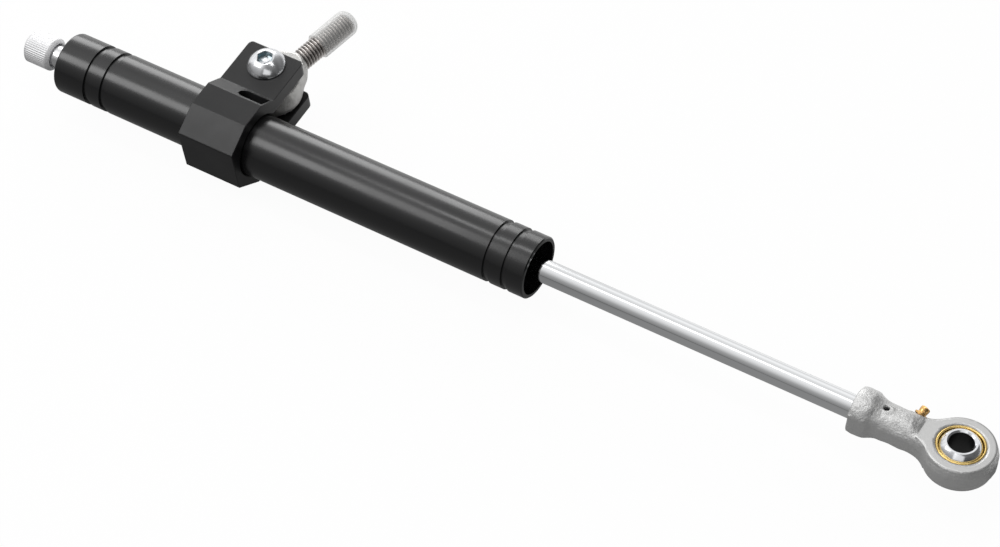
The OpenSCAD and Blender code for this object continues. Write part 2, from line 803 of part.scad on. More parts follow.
// The forged end on the rod: collar, neck and head. The dies leave its sides flat, with an edge above
// and below where they parted, and a cutter makes it flat round the ball.
module rod_end_head() {
    ease = 1.1;
    shank_x = -head_reach;
    collar_x = shank_x + collar_length;
    collar_r = collar_d / 2;
    run_out = 1.4 * (collar_r - eye_neck_r);
    side = concat(
        [[shank_x - CUT, collar_flats / 2], [collar_x, collar_flats / 2],
         [collar_x + collar_flats / 2 - eye_neck_flats / 2, eye_neck_flats / 2]],
        eye_neck(eye_neck_flats / 2, head_d / 2 - 0.2, eye_fillet_r));
    color("#b3b2ae")
    difference() {
        union() {
            intersection() {
                turned(concat(
                    [[shank_x, 0]],
                    arc([shank_x + ease, collar_r - ease], ease, 180, 90, 4),
                    arc([collar_x - ease, collar_r - ease], ease, 90, 40, 4),
                    [[collar_x + run_out, eye_neck_r]],
                    eye_neck(eye_neck_r, head_d / 2, eye_fillet_r)));
                linear_extrude(2 * collar_d, center = true)
                    polygon(concat(side, [for (i = [len(side) - 1 : -1 : 0]) [side[i][0], -side[i][1]]]));
            }
            eye_head(head_d, head_face_d);
        }
        face_cut(head_d / 2 + 1.1, head_reach);
        race_seat();
        bar(rod_d + 2 * seat_play, shank_x - CUT, eye_socket_x);
        translate([-witness_x, 0, 0])
            cylinder(d = witness_d, h = collar_d);
        at_nipple()
            translate([0, 0, -nipple_thread - 0.3])
                cylinder(d = nipple_d - 0.4 + 2 * seat_play, h = nipple_thread + CUT);
        at_nipple()
            cylinder(d = nipple_flange_d + 0.6, h = 4);
    }
}

module rod_end_race() {
    color("#d3b254")
        race();
}

module rod_end_ball() {
    color("#e0e2e4")
        ball();
}

module grease_nipple() {
    flange_h = 0.7;
    r = nipple_d / 2;
    tip_r = 0.5 * r;
    color("#cfa03c")
    at_nipple()
        difference() {
            union() {
                rotate_extrude($fn = 48)
                    polygon([
                        [0, 0], [nipple_flange_d / 2, 0], [nipple_flange_d / 2, flange_h],
                        [r, flange_h + 0.1], [r, nipple_h - 0.6], [tip_r + 0.3, nipple_h], [0, nipple_h]]);
                translate([0, 0, -nipple_thread])
                    cylinder(d = nipple_d - 0.4, h = nipple_thread + 0.1);
            }
            translate([0, 0, nipple_h - 0.8])
                cylinder(d = 1, h = CUT);
        }
}

// Places its children in the clamp's own frame: X along the cylinder, Y towards the ears
module at_clamp() {
    translate([clamp_x, 0, 0])
        rotate([clamp_tilt, 0, 0])
            children();
}

// Places its children at the stud's ball, with the stud along their own minus X
module at_stud() {
    at_clamp()
        translate([0, bolt_reach, 0])
            rotate([0, 0, -90 - stud_yaw])
                children();
}

// The clamp's section: eight-sided ring and two ears, in the plane across the cylinder
function clamp_outline() = [
    [-clamp_front, -front_low], [-clamp_front, front_high], [-top_front, clamp_top],
    [top_rear, clamp_top], [ear_start, ear_half], [ear_reach, ear_half],
    [ear_reach, -ear_half], [ear_start, -ear_half], [top_rear, -clamp_top],
    [-top_front, -clamp_top]];

module clamp_body() {
    slope = atan2(clamp_top - ear_half, ear_start - top_rear);
    slope_middle = [(top_rear + ear_start) / 2, (clamp_top + ear_half) / 2];
    bore = body_d + 2 * run_play;
    mouth_chamfer = 0.6;
    color("#2b2b2d")
    at_clamp()
        difference() {
            intersection() {
                rotate([90, 0, 90])
                    linear_extrude(clamp_w, center = true)
                        polygon(eased(clamp_outline(), clamp_edge_r));
                linear_extrude(4 * clamp_top, center = true)
                    translate([0, (ear_reach - 2 * clamp_front) / 2])
                        polygon(eased([
                            [-clamp_w / 2, -ear_reach], [clamp_w / 2, -ear_reach],
                            [clamp_w / 2, (ear_reach + 2 * clamp_front) / 2],
                            [-clamp_w / 2, (ear_reach + 2 * clamp_front) / 2]], ear_corner_r));
            }
            bar(bore, -clamp_w, clamp_w);
            for (side = [0, 1])
                mirror([side, 0, 0])
                    translate([clamp_w / 2 - mouth_chamfer, 0, 0])
                        rotate([0, 90, 0])
                            cylinder(d1 = bore, d2 = bore + 4 * mouth_chamfer, h = 2 * mouth_chamfer);
            translate([-clamp_w, 0, -gap_half])
                cube([2 * clamp_w, ear_reach + CUT, 2 * gap_half]);
            translate([0, bolt_reach, 0])
                cylinder(d = bolt_d + 0.5, h = 2 * ear_half);
            translate([0, bolt_reach, -2 * ear_half])
                cylinder(d = bolt_d + 2 * seat_play, h = 2 * ear_half);
            translate([clamp_w / 2 - pocket_lip, slope_middle[0], slope_middle[1]])
                rotate([-slope, 0, 0])
                    translate([0, 0, -pocket_depth])
                        linear_extrude(pocket_depth + CUT) {
                            translate([-pocket_length + pocket_w / 2, 0])
                                circle(d = pocket_w);
                            translate([-pocket_length + pocket_w / 2, -pocket_w / 2])
                                square([pocket_length - pocket_w / 2, pocket_w]);
                        }
        }
}

// The button head bolt: a round head with a hexagon socket, and a shank that ends in the lower ear.
// The head is part of a ball, from its rim up to its flat crown.
module clamp_bolt() {
    crown_r = socket_flats / 2 / cos(30) + 0.7;
    rim = 0.4;
    rise = button_h - rim;
    drop = (pow(button_d / 2, 2) - pow(crown_r, 2) - rise * rise) / (2 * rise);
    dome_r = norm([button_d / 2, drop]);
    dome = arc([0, ear_half + rim - drop], dome_r, asin(drop / dome_r), acos(crown_r / dome_r), 8);
    color("#d0d3d6")
    at_clamp()
        translate([0, bolt_reach, 0])
            difference() {
                rotate_extrude($fn = 96)
                    polygon(concat(
                        [[0, -bolt_tip], [bolt_d / 2 - 0.8, -bolt_tip], [bolt_d / 2, -bolt_tip + 0.8],
                         [bolt_d / 2, ear_half], [button_d / 2 - 0.2, ear_half]],
                        dome, [[0, ear_half + button_h]]));
                translate([0, 0, ear_half + button_h - socket_depth])
                    cylinder(d = socket_flats / cos(30), h = socket_depth + CUT, $fn = 6);
            }
}

// The second rod end: head, short neck and threaded stud in one piece
module stud_head() {
    tip_chamfer = 1;
    shoulder_r = stud_head_d / 2 - 0.4;
    shoulder_turn = 64;
    shoulder = [-shoulder_r * cos(shoulder_turn), shoulder_r * sin(shoulder_turn)];
    color("#c3c2bf")
    at_stud()
        difference() {
            union() {
                turned([
                    [-stud_reach, 0], [-stud_reach, stud_d / 2 - tip_chamfer],
                    [-stud_reach + tip_chamfer, stud_d / 2], [-stud_thread_start, stud_d / 2],
                    [-stud_nose_x, stud_nose_d / 2], shoulder, [0, shoulder[1]], [0, 0]]);
                eye_head(stud_head_d, stud_face_d);
            }
            face_cut(stud_thread_start + CUT, stud_head_d);
            race_seat();
        }
}

module stud_race() {
    color("#d3b254")
        at_stud()
            race();
}

module stud_ball() {
    color("#e0e2e4")
        at_stud()
            ball();
}

// The soft cap that keeps the thread clean
module stud_cap() {
    bore = stud_d + 2 * run_play;
    r = tip_cap_d / 2;
    end_x = -stud_reach - 0.3 - tip_cap_end;
    round_r = 0.7 * r;
    color([0.86, 0.87, 0.84, 0.45])
    at_stud()
        difference() {
            turned(concat(
                [[-tip_cap_start, 0], [-tip_cap_start, r]],
                arc([end_x + round_r, r - round_r], round_r, 90, 180, 8),
                [[end_x, 0]]));
            bar(bore, -stud_reach - 0.3, -tip_cap_start + CUT);
        }
}

cylinder_tube();
end_cap();
end_cap_oring();
valve_body();
check_disc();
inner_tube();
foam_sleeve();
rod_guide();
guide_bush();
guide_oring();
rod_seal();
rod_wiper();
guide_circlip();
adjuster_sleeve();
adjuster_knob();
knob_screw();
adjuster_spindle();
detent_ball();
detent_spring();
adjuster_needle();
needle_oring();
piston_rod();
piston();
piston_band();
piston_shims();
piston_nut();
cushion_washer();
rod_end_head();
rod_end_race();
rod_end_ball();
grease_nipple();
clamp_body();
clamp_bolt();
stud_head();
stud_race();
stud_ball();
stud_cap();
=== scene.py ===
# %% [markdown]
# # A steering damper, dressed in Blender
# The construction of this damper is already drawn as solids: every tube, seal, ball and bolt has its
# real size and place. This lesson gives those solids their surfaces, adds the small forms that solids
# leave out, such as the knurl and the thread, and sets up a studio round them.
#
# The first cell loads the solids as a fixed frame and keeps the size of their box. Every new piece has
# to stay inside that box, so the two sizes are compared at the end.

import json
import math

import bmesh
import bpy
import numpy as np
from mathutils import Matrix, Vector


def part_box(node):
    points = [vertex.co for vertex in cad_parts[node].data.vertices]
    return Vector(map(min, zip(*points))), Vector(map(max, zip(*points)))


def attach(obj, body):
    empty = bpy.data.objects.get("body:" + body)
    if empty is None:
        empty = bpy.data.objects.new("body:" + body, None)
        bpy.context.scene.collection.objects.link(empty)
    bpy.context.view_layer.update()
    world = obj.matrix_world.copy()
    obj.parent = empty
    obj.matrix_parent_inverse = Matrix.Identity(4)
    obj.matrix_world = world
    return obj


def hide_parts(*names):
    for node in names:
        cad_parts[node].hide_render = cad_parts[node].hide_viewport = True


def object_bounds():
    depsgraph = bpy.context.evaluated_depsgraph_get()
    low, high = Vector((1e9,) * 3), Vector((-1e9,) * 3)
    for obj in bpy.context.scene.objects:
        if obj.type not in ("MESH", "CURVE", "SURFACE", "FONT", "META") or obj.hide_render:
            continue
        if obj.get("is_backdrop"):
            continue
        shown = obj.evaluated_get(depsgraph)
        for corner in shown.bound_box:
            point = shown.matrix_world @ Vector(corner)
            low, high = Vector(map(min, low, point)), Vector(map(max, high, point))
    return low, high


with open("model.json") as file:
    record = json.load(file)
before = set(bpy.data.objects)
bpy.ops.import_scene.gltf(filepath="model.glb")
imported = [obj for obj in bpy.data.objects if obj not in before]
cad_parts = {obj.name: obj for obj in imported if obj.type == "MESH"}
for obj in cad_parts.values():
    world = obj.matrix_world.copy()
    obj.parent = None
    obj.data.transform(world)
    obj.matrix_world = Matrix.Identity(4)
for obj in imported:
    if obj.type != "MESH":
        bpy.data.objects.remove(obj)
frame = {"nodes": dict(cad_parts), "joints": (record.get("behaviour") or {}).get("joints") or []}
cad_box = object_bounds()

MM = 0.001
nodes = frame["nodes"]
joints = {joint["name"]: joint for joint in frame["joints"]}


def in_mm(box):
    """The lowest and the highest corner of a box, in millimetres."""
    return [np.array(corner) / MM for corner in box]


def span_and_radius(box):
    """Where a turned solid starts and ends along X, and its radius, in millimetres."""
    low, high = in_mm(box)
    return low[0], high[0], high[1]


def new_object(name, data):
    """An object in the scene, at the origin."""
    thing = bpy.data.objects.new(name, data)
    bpy.context.collection.objects.link(thing)
    return thing


# %% [markdown]
# ## The camera
# Seen from a little under a metre, the far end of the damper looks an eighth smaller than the near end.
# So the camera has a real distance and a long lens instead of an orthographic view. Its place and its
# turn were fitted to the photograph, with the bore of the rod's ball taken as upright.

# %% Make the camera
CAMERA_PLACE = (0.1582487, -0.5451275, 0.6617895)
CAMERA_RIGHT = (0.8557849, 0.5172822, 0.0071682)
CAMERA_UP = (-0.3805804, 0.6201210, 0.6860091)
CAMERA_LENS, CAMERA_SENSOR = 100.126, 36
CAMERA_RANGE = (0.01, 50)


def add_camera():
    """A camera from its place and the directions of its right side and its top."""
    data = bpy.data.cameras.new("camera")
    data.lens, data.sensor_width = CAMERA_LENS, CAMERA_SENSOR
    data.clip_start, data.clip_end = CAMERA_RANGE
    right, up = Vector(CAMERA_RIGHT), Vector(CAMERA_UP)
    turn = Matrix((right, up, right.cross(up))).transposed()
    camera = new_object("camera", data)
    camera.matrix_world = Matrix.Translation(CAMERA_PLACE) @ turn.to_4x4()
    bpy.context.scene.camera = camera
    return camera


camera = add_camera()
bpy.context.scene.view_settings.view_transform = "Standard"
print("camera distance", round(camera.location.length, 3), "m")

# %% [markdown]
# ## The studio
# A black cylinder shows almost nothing of itself: what the eye reads is the lights mirrored along it.
# Three long soft boxes hang parallel to the damper. Each is set by the angle at which it stands round
# the damper's own axis, counted from straight up towards the camera, because that angle decides where
# on the cylinder its reflection falls. A reflection sits halfway between the light and the eye. The
# straight parts don't mirror the low card in front at all: it is there for the domes and the balls.

# %% Hang the soft boxes
LIGHT_DISTANCE = 0.8
SOFT_BOXES = {
    "rear_box": (-63, 30, 3.1, (-1.3, -0.44)),
    "top_box": (-3, 7, 4.0, (-0.56, 0.3)),
    "front_box": (31, 25, 3.2, (-1.4, -0.5)),
    "side_card": (56, 30, 0.75, (-0.15, 0.6)),
}


def add_soft_box(name, angle, spread, radiance, run):
    """A long area light. angle is round the damper's axis from straight up towards the camera, spread is
    the angle that the box covers, radiance is how bright its face looks, and run is its reach along X."""
    a = math.radians(angle)
    away = Vector((0, -math.sin(a), math.cos(a)))
    along = Vector((1, 0, 0))
    data = bpy.data.lights.new(name, "AREA")
    data.shape = "RECTANGLE"
    data.size = run[1] - run[0]
    data.size_y = 2 * LIGHT_DISTANCE * math.tan(math.radians(spread / 2))
    data.energy = radiance * math.pi * data.size * data.size_y
    light = new_object(name, data)
    turn = Matrix((along, away.cross(along), away)).transposed()
    middle = Vector(((run[0] + run[1]) / 2, 0, 0)) + LIGHT_DISTANCE * away
    light.matrix_world = Matrix.Translation(middle) @ turn.to_4x4()
    return light


for name, (angle, spread, radiance, run) in SOFT_BOXES.items():
    light = add_soft_box(name, angle, spread, radiance, run)
    print(name, "at", angle, "degrees,", round(light.data.energy, 2), "W")

# %% [markdown]
# The chrome rod is a mirror, so it records the room it stands in. Read round it from the top, it shows
# a pale room behind, a darker one in front, and a table that is bright further back and dark just
# behind the damper, in its own shadow. The room below repeats that record: its brightness depends on
# the angle round the damper, and the table's glow on the distance in front of it or behind it. That
# shadow is a painted shadow, a dark band in the table's glow. The wide cylinder's shade on the table is
# painted too, as a dimmer glow along it than along the thin rod, and past the rod's end the room is
# dark. What the camera sees directly is white, and the Light Path node tells the two kinds of ray apart.

# %% Light the room and lay the table
ROOM_BY_ANGLE = ((-180, 0.4), (-130, 1.1), (-95, 0.88), (-80, 0.82), (-55, 1.15), (-25, 0.82), (0, 1.1),
                 (15, 1.0), (35, 0.8), (60, 0.42), (85, 0.27), (180, 0.3))
# The dip just behind the damper is a painted shadow of the damper in the table's glow.
TABLE_GLOW_AND_PAINTED_SHADOW_BY_PLACE = ((-0.50, 0.16), (-0.08, 0.27), (0.003, 0.27), (0.010, 0.08), (0.020, 0.08), (0.036, 0.8),
                  (0.07, 1.1), (0.50, 1.1))
# The dimmer glow along the wide cylinder is painted shade.
TABLE_GLOW_AND_PAINTED_SHADE_BY_LENGTH = ((-4, 0.75), (-0.17, 0.75), (-0.14, 1.0), (-0.05, 1.0), (-0.03, 1.1), (4, 1.1))
DARK_END = ((-1, 1.0), (-0.1, 1.0), (0.1, 0.4), (0.3, 0.25), (1, 0.1))
TABLE_SHADE = 0.04
TABLE_SIZE, TABLE_GAP = 8, 0.05
WHITE, PAPER = (1, 1, 1, 1), (0.9, 0.9, 0.9, 1)


def fill(tree, node, values):
    """Sets a node's inputs, by place or by name. Each value is a number, a colour or another node's
    output, and None leaves the input as it is."""
    for key, value in values.items():
        socket = node.inputs[key if isinstance(key, int) else key.replace("_", " ")]
        if isinstance(value, bpy.types.NodeSocket):
            tree.links.new(value, socket)
        elif value is not None:
            socket.default_value = value
    return node


def add_node(tree, kind, *values, **named):
    """A new shader node with its inputs set."""
    return fill(tree, tree.nodes.new("ShaderNode" + kind), {**dict(enumerate(values)), **named})


def math_node(tree, operation, *values):
    """The result of a Math node."""
    node = add_node(tree, "Math", *values)
    node.operation = operation
    return node.outputs["Value"]


def ramp_node(tree, value, stops):
    """A ramp from a list of (value, brightness), which are joined by straight lines."""
    low, high = stops[0][0], stops[-1][0]
    part = math_node(tree, "DIVIDE", math_node(tree, "SUBTRACT", value, low), high - low)
    ramp = add_node(tree, "ValToRGB", part)
    elements = ramp.color_ramp.elements
    while len(elements) < len(stops):
        elements.new(0.5)
    for element, (place, bright) in zip(elements, stops):
        element.position = (place - low) / (high - low)
        element.color = (bright, bright, bright, 1)
    return ramp.outputs["Color"]


def empty_tree(owner):
    """The cleared node tree of a new world or material."""
    owner.use_nodes = True
    owner.node_tree.nodes.clear()
    return owner.node_tree


def split_by_ray(tree, mirrored, seen, kind):
    """Sends one shader to the camera's own rays and the other to all the rest."""
    path = add_node(tree, "LightPath")
    mix = add_node(tree, "MixShader", path.outputs["Is Camera Ray"], mirrored.outputs[0], seen.outputs[0])
    add_node(tree, "Output" + kind, Surface=mix.outputs["Shader"])


def axes_of(tree, output):
    """The three parts of a texture coordinate."""
    return add_node(tree, "SeparateXYZ", add_node(tree, "TexCoord").outputs[output]).outputs


def add_room():
    """A world whose brightness in mirrors follows the angle round the damper's axis."""
    world = bpy.data.worlds.new("room")
    tree = empty_tree(world)
    way = axes_of(tree, "Generated")
    towards = math_node(tree, "MULTIPLY", way["Y"], -1.0)
    angle = math_node(tree, "DEGREES", math_node(tree, "ARCTAN2", towards, way["Z"]))
    mirrored = add_node(tree, "Background", Color=ramp_node(tree, angle, ROOM_BY_ANGLE),
                        Strength=ramp_node(tree, way["X"], DARK_END))
    split_by_ray(tree, mirrored, add_node(tree, "Background", Color=WHITE), "World")
    bpy.context.scene.world = world


def table_material():
    """Paper whose glow carries a painted shadow and painted shade of the damper, and shows the camera a
    trace of real shade.
    """
    material = bpy.data.materials.new("white_table")
    tree = empty_tree(material)
    place = axes_of(tree, "Object")
    # This glow holds the painted shadow and the painted shade of the damper.
    mirrored = add_node(tree, "Emission", Color=ramp_node(tree, place["Y"], TABLE_GLOW_AND_PAINTED_SHADOW_BY_PLACE),
                        Strength=ramp_node(tree, place["X"], TABLE_GLOW_AND_PAINTED_SHADE_BY_LENGTH))
    paper = add_node(tree, "BsdfDiffuse", Color=PAPER)
    white = add_node(tree, "Emission")
    blend = add_node(tree, "MixShader", 1 - TABLE_SHADE, paper.outputs["BSDF"], white.outputs["Emission"])
    split_by_ray(tree, mirrored, blend, "Material")
    return material


def add_table():
    """One square just below the damper's lowest point."""
    low = cad_box[0][2] - TABLE_GAP * MM
    half = TABLE_SIZE / 2
    corners = [(-half, -half, low), (half, -half, low), (half, half, low), (-half, half, low)]
    mesh = bpy.data.meshes.new("table")
    mesh.from_pydata(corners, [], [(0, 1, 2, 3)])
    mesh.materials.append(table_material())
    table = new_object("table", mesh)
    table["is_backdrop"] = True
    return low


add_room()
print("table at", round(add_table() / MM, 2), "mm")

# %% [markdown]
# ## Effects that several finishes share
# A finish is more than a colour. Turned metal carries fine rings from the tool, blasted and forged
# metal has a grain, and every machined edge is broken a little, so it catches light. The rings and the
# grain are node groups, built once, with their own named inputs, and each material sets its own numbers.
# The broken edge is a Bevel node in each material.

# %% Build the shared node groups
NOISE_LOW, NOISE_HIGH = 0.3, 0.7


def new_group(name, inputs, outputs):
    """An empty shader group of numbers. inputs maps names to defaults, and outputs lists names."""
    group = bpy.data.node_groups.new(name, "ShaderNodeTree")
    for title, value in inputs.items():
        socket = group.interface.new_socket(title, in_out="INPUT", socket_type="NodeSocketFloat")
        socket.default_value = value
    for title in outputs:
        group.interface.new_socket(title, in_out="OUTPUT", socket_type="NodeSocketFloat")
    return group, group.nodes.new("NodeGroupInput").outputs, group.nodes.new("NodeGroupOutput")


def map_range(tree, value, start, end, low=0.0, high=1.0):
    """Stretches a value from the range between start and end to the one between low and high."""
    return add_node(tree, "MapRange", value, start, end, low, high).outputs["Result"]


def grain_group():
    """Two sizes of noise in the solid's own space: a fine one for height, a broad one for cloudiness."""
    group, given, made = new_group(
        "surface_grain", {"Grain Scale": 4000.0, "Cloud Scale": 60.0, "Smooth": 0.3, "Rough": 0.45},
        ("Height", "Roughness", "Cloud"))
    place = add_node(group, "TexCoord").outputs["Object"]
    fine = add_node(group, "TexNoise", Vector=place, Scale=given["Grain Scale"], Detail=3)
    broad = add_node(group, "TexNoise", Vector=place, Scale=given["Cloud Scale"], Detail=4).outputs["Fac"]
    rough = map_range(group, broad, NOISE_LOW, NOISE_HIGH, given["Smooth"], given["Rough"])
    fill(group, made, {"Height": fine.outputs["Fac"], "Roughness": rough, "Cloud": broad})
    return group


def turned_group():
    """Rings round a turned piece: noise that varies only along one number, the tool's feed."""
    group, given, made = new_group(
        "turning_marks", {"Feed": 0.0, "Ring Scale": 6000.0, "Smooth": 0.15, "Rough": 0.3},
        ("Height", "Roughness"))
    rings = group.nodes.new("ShaderNodeTexNoise")
    rings.noise_dimensions = "1D"
    fill(group, rings, {"W": given["Feed"], "Scale": given["Ring Scale"], "Detail": 4})
    rings = rings.outputs["Fac"]
    rough = map_range(group, rings, NOISE_LOW, NOISE_HIGH, given["Smooth"], given["Rough"])
    fill(group, made, {"Height": rings, "Roughness": rough})
    return group


GRAIN = grain_group()
TURNED = turned_group()
print("groups", [group.name for group in bpy.data.node_groups])

# %% [markdown]
# A small class keeps the wiring short. It starts a material with one Principled shader and adds the
# shared groups to it. Numbers that are the same all over a surface go straight to the shader's sockets.

# %% Wire a finish
class Finish:
    """One material with a Principled shader, and short calls that wire the shared groups to it."""

    def __init__(self, name, color, metallic=0.0, **sockets):
        self.material = bpy.data.materials.new(name)
        self.material.use_nodes = True
        self.tree = self.material.node_tree
        self.shader = self.tree.nodes["Principled BSDF"]
        self.color = (*color, 1)
        self.normal = None
        self.set(Base_Color=self.color, Metallic=metallic, **sockets)

    def set(self, **sockets):
        """Sets inputs of the Principled shader."""
        fill(self.tree, self.shader, sockets)

    def add(self, kind, *values, **named):
        """A node in this material."""
        return add_node(self.tree, kind, *values, **named)

    def group(self, tree, **values):
        """The outputs of a shared group, with this material's own values. Its roughness goes straight
        to the shader, where a later call of set can replace it."""
        node = self.tree.nodes.new("ShaderNodeGroup")
        node.node_tree = tree
        fill(self.tree, node, values)
        self.set(Roughness=node.outputs["Roughness"])
        return node.outputs

    def compute(self, operation, *values):
        return math_node(self.tree, operation, *values)

    def place(self, middle=(0, 0, 0), turn=(0, 0, 0)):
        """The solid's own coordinates, moved and turned so that middle is the origin."""
        place = self.add("TexCoord").outputs["Object"]
        mapping = self.add("Mapping", Vector=place, Location=middle, Rotation=turn)
        mapping.vector_type = "TEXTURE"
        return mapping.outputs["Vector"]

    def axis_value(self, vector, axis):
        """One part of a vector."""
        return self.add("SeparateXYZ", vector).outputs[axis]

    def radius_value(self, vector, across=(1, 1, 0)):
        """The distance from an axis, which is Z unless across says otherwise."""
        flat = self.add("VectorMath", vector, across)
        flat.operation = "MULTIPLY"
        length = self.add("VectorMath", flat.outputs["Vector"])
        length.operation = "LENGTH"
        return length.outputs["Value"]

    def edges(self, radius_mm):
        """Rounds the shading across sharp edges, as a broken edge does."""
        bevel = self.add("Bevel", Radius=radius_mm * MM)
        bevel.samples = 6
        self.normal = bevel.outputs["Normal"]

    def bump(self, height, depth_mm, strength=1.0):
        """Adds relief to the normals so far."""
        self.normal = self.add("Bump", Strength=strength, Distance=depth_mm * MM, Height=height,
                               Normal=self.normal).outputs["Normal"]

    def step(self, value, at_mm, soft_mm=0.04):
        """A mask that rises from 0 to 1 where the value passes at_mm."""
        return map_range(self.tree, value, (at_mm - soft_mm) * MM, (at_mm + soft_mm) * MM)

    def blend_value(self, mask, below, above):
        """One value where the mask is 0 and another where it is 1. Each is a number or an output."""
        return self.add("Mix", Factor=mask, A=below, B=above).outputs["Result"]

    def tint(self, mask, other):
        """Mixes the base colour with another one by a mask."""
        mix = self.tree.nodes.new("ShaderNodeMix")
        mix.data_type = "RGBA"
        fill(self.tree, mix, {"Factor": mask, 6: self.color, 7: (*other, 1)})
        self.set(Base_Color=mix.outputs[2])

    def done(self):
        """Links the last normal and hands the material over."""
        self.set(Normal=self.normal)
        return self.material


def dress(material, *names):
    """Puts a material on CAD nodes, in place of the plain one they came with."""
    for name in names:
        mesh = nodes[name].data
        mesh.materials.clear()
        mesh.materials.append(material)


# %% [markdown]
# ## Black anodised aluminium
# Anodising is a clear, hard skin with the dye inside it, so it behaves like dark glass over metal: a
# nearly black colour with a clean reflection on top. The cylinder was turned first, which leaves faint
# rings along it. The clamp was blasted before it was dyed, so its reflections spread out into flat,
# dark greys, one for each facet.

# %% Mix the black finishes
def cylinder_finish():
    finish = Finish("black_anodised_tube", (0.005, 0.005, 0.0055), IOR=1.62)
    turned = finish.group(TURNED, Feed=finish.axis_value(finish.place(), "X"), Ring_Scale=2600.0)
    grain = finish.group(GRAIN, Grain_Scale=5000.0, Cloud_Scale=45.0, Smooth=0.19, Rough=0.27)
    finish.bump(turned["Height"], 0.002)
    finish.bump(grain["Height"], 0.0015)
    return finish.done()


def clamp_finish():
    finish = Finish("black_anodised_clamp", (0.007, 0.007, 0.0075), IOR=1.46)
    grain = finish.group(GRAIN, Grain_Scale=3200.0, Cloud_Scale=80.0, Smooth=0.33, Rough=0.42)
    finish.edges(0.45)
    finish.bump(grain["Height"], 0.012, 0.5)
    return finish.done()


black_tube = cylinder_finish()
dress(clamp_finish(), "clamp_body")

# %% [markdown]
# ## Chrome, steel and brass
# The rod is ground and hard chromed, so it is a mirror with hardly any marks. Inside the head, where the
# rod is clamped, it is painted black as painted shade, and that is what shows through the witness hole.
# The balls are ground as well, but their bores are painted dark as painted shade. The races are turned
# brass, with rings round the ball's bore.

# %% Mix the bright finishes
stud_middle = Vector(joints["stud_swing"]["pos_m"])
bolt_axis = Vector(joints["stud_swing"]["axis"])
stud_way = Vector(joints["cap_pull"]["axis"])
stud_turn = Matrix((stud_way, bolt_axis.cross(stud_way), bolt_axis)).transposed().to_euler()
# Where the rod enters the head. Past it the rod is painted black, as painted shade.
PAINTED_SHADE_FROM = in_mm(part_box("rod_end_head"))[0][0] + 0.4
BALL_COLOR = (0.80, 0.81, 0.83)
BALL_BORE = 8.0
PAINTED_SHADE_BORE_RADIUS = BALL_BORE / 2 + 0.12
BRASS_COLOR = (0.83, 0.60, 0.22)


def chrome_finish():
    finish = Finish("hard_chrome", (0.80, 0.81, 0.82), metallic=1.0)
    grain = finish.group(GRAIN, Grain_Scale=900.0, Cloud_Scale=70.0, Smooth=0.035, Rough=0.08)
    # Inside the head the rod is painted black as painted shade, and it is made rough.
    painted_shade = finish.step(finish.axis_value(finish.place(), "X"), PAINTED_SHADE_FROM)
    finish.set(Roughness=finish.blend_value(painted_shade, grain["Roughness"], 0.6))
    finish.tint(painted_shade, (0.01, 0.01, 0.01))
    return finish.done()


def ball_finish(name, middle=(0, 0, 0), turn=(0, 0, 0)):
    """Ground steel, with a rougher bore whose dark colour is painted shade."""
    finish = Finish(name, (0.06, 0.06, 0.06), metallic=1.0)
    radius = finish.radius_value(finish.place(middle, turn))
    turned = finish.group(TURNED, Feed=radius, Ring_Scale=5200.0, Smooth=0.14, Rough=0.22)
    # Inside the bore the dark base colour stays as painted shade, and outside it the steel is bright.
    outside = finish.step(radius, PAINTED_SHADE_BORE_RADIUS, 0.06)
    finish.set(Roughness=finish.blend_value(outside, 0.45, turned["Roughness"]))
    finish.tint(outside, BALL_COLOR)
    finish.bump(turned["Height"], 0.0006)
    return finish.done()


def round_bore_finish(name, color, smooth, rough, depth_mm, middle=(0, 0, 0), turn=(0, 0, 0)):
    """Turned metal whose rings run round a bore along the Z axis of the given place."""
    finish = Finish(name, color, metallic=1.0)
    radius = finish.radius_value(finish.place(middle, turn))
    turned = finish.group(TURNED, Feed=radius, Ring_Scale=5200.0, Smooth=smooth, Rough=rough)
    finish.bump(turned["Height"], depth_mm)
    return finish.done()


chrome = chrome_finish()
print("the rod is dark past", round(PAINTED_SHADE_FROM, 1), "mm")

# %% [markdown]
# ## Forged steel
# The head of each rod end is forged, tumbled and zinc plated. Forging leaves a skin like fine orange
# peel, and the cutter then faces the two sides of the head flat. The faced area is smoother. It lies
# within the cutter's circle where the surface is level with the face, so the height above the ball's
# centre and the distance from its bore find it. The broad, shallow dents are real shape, made later.

# %% Mix the forged finish
HEAD_FACE = 4.5
FACE_CUT = 14.2
EVEN = 0.5


def forged_finish(name, color, middle=(0, 0, 0), turn=(0, 0, 0), grain_mm=0.22):
    """Forged skin everywhere, and fine cutter marks where the cutter has faced the head."""
    finish = Finish(name, color, metallic=0.78)
    place = finish.place(middle, turn)
    radius = finish.radius_value(place)
    skin = finish.group(GRAIN, Grain_Scale=1500.0, Cloud_Scale=520.0, Smooth=0.36, Rough=0.56)
    faced = finish.group(TURNED, Feed=radius, Ring_Scale=2600.0, Smooth=0.38, Rough=0.50)
    level = finish.compute("ABSOLUTE", finish.axis_value(place, "Z"))
    within = finish.compute("SUBTRACT", 1.0, finish.step(radius, FACE_CUT))
    mask = finish.compute("MULTIPLY", within, finish.step(level, HEAD_FACE - 0.04, 0.02))
    finish.set(Roughness=finish.blend_value(mask, skin["Roughness"], faced["Roughness"]))
    finish.edges(0.3)
    for height in ("Height", "Cloud"):
        finish.bump(finish.blend_value(mask, skin[height], EVEN), grain_mm, 0.9)
    finish.bump(finish.blend_value(mask, EVEN, faced["Height"]), 0.012)
    return finish.done()


forged_steel = forged_finish("forged_steel", (0.60, 0.60, 0.595))
stud_steel = forged_finish("forged_steel_stud", (0.56, 0.555, 0.54), stud_middle, stud_turn, 0.10)
print("forged skin below", HEAD_FACE, "mm")

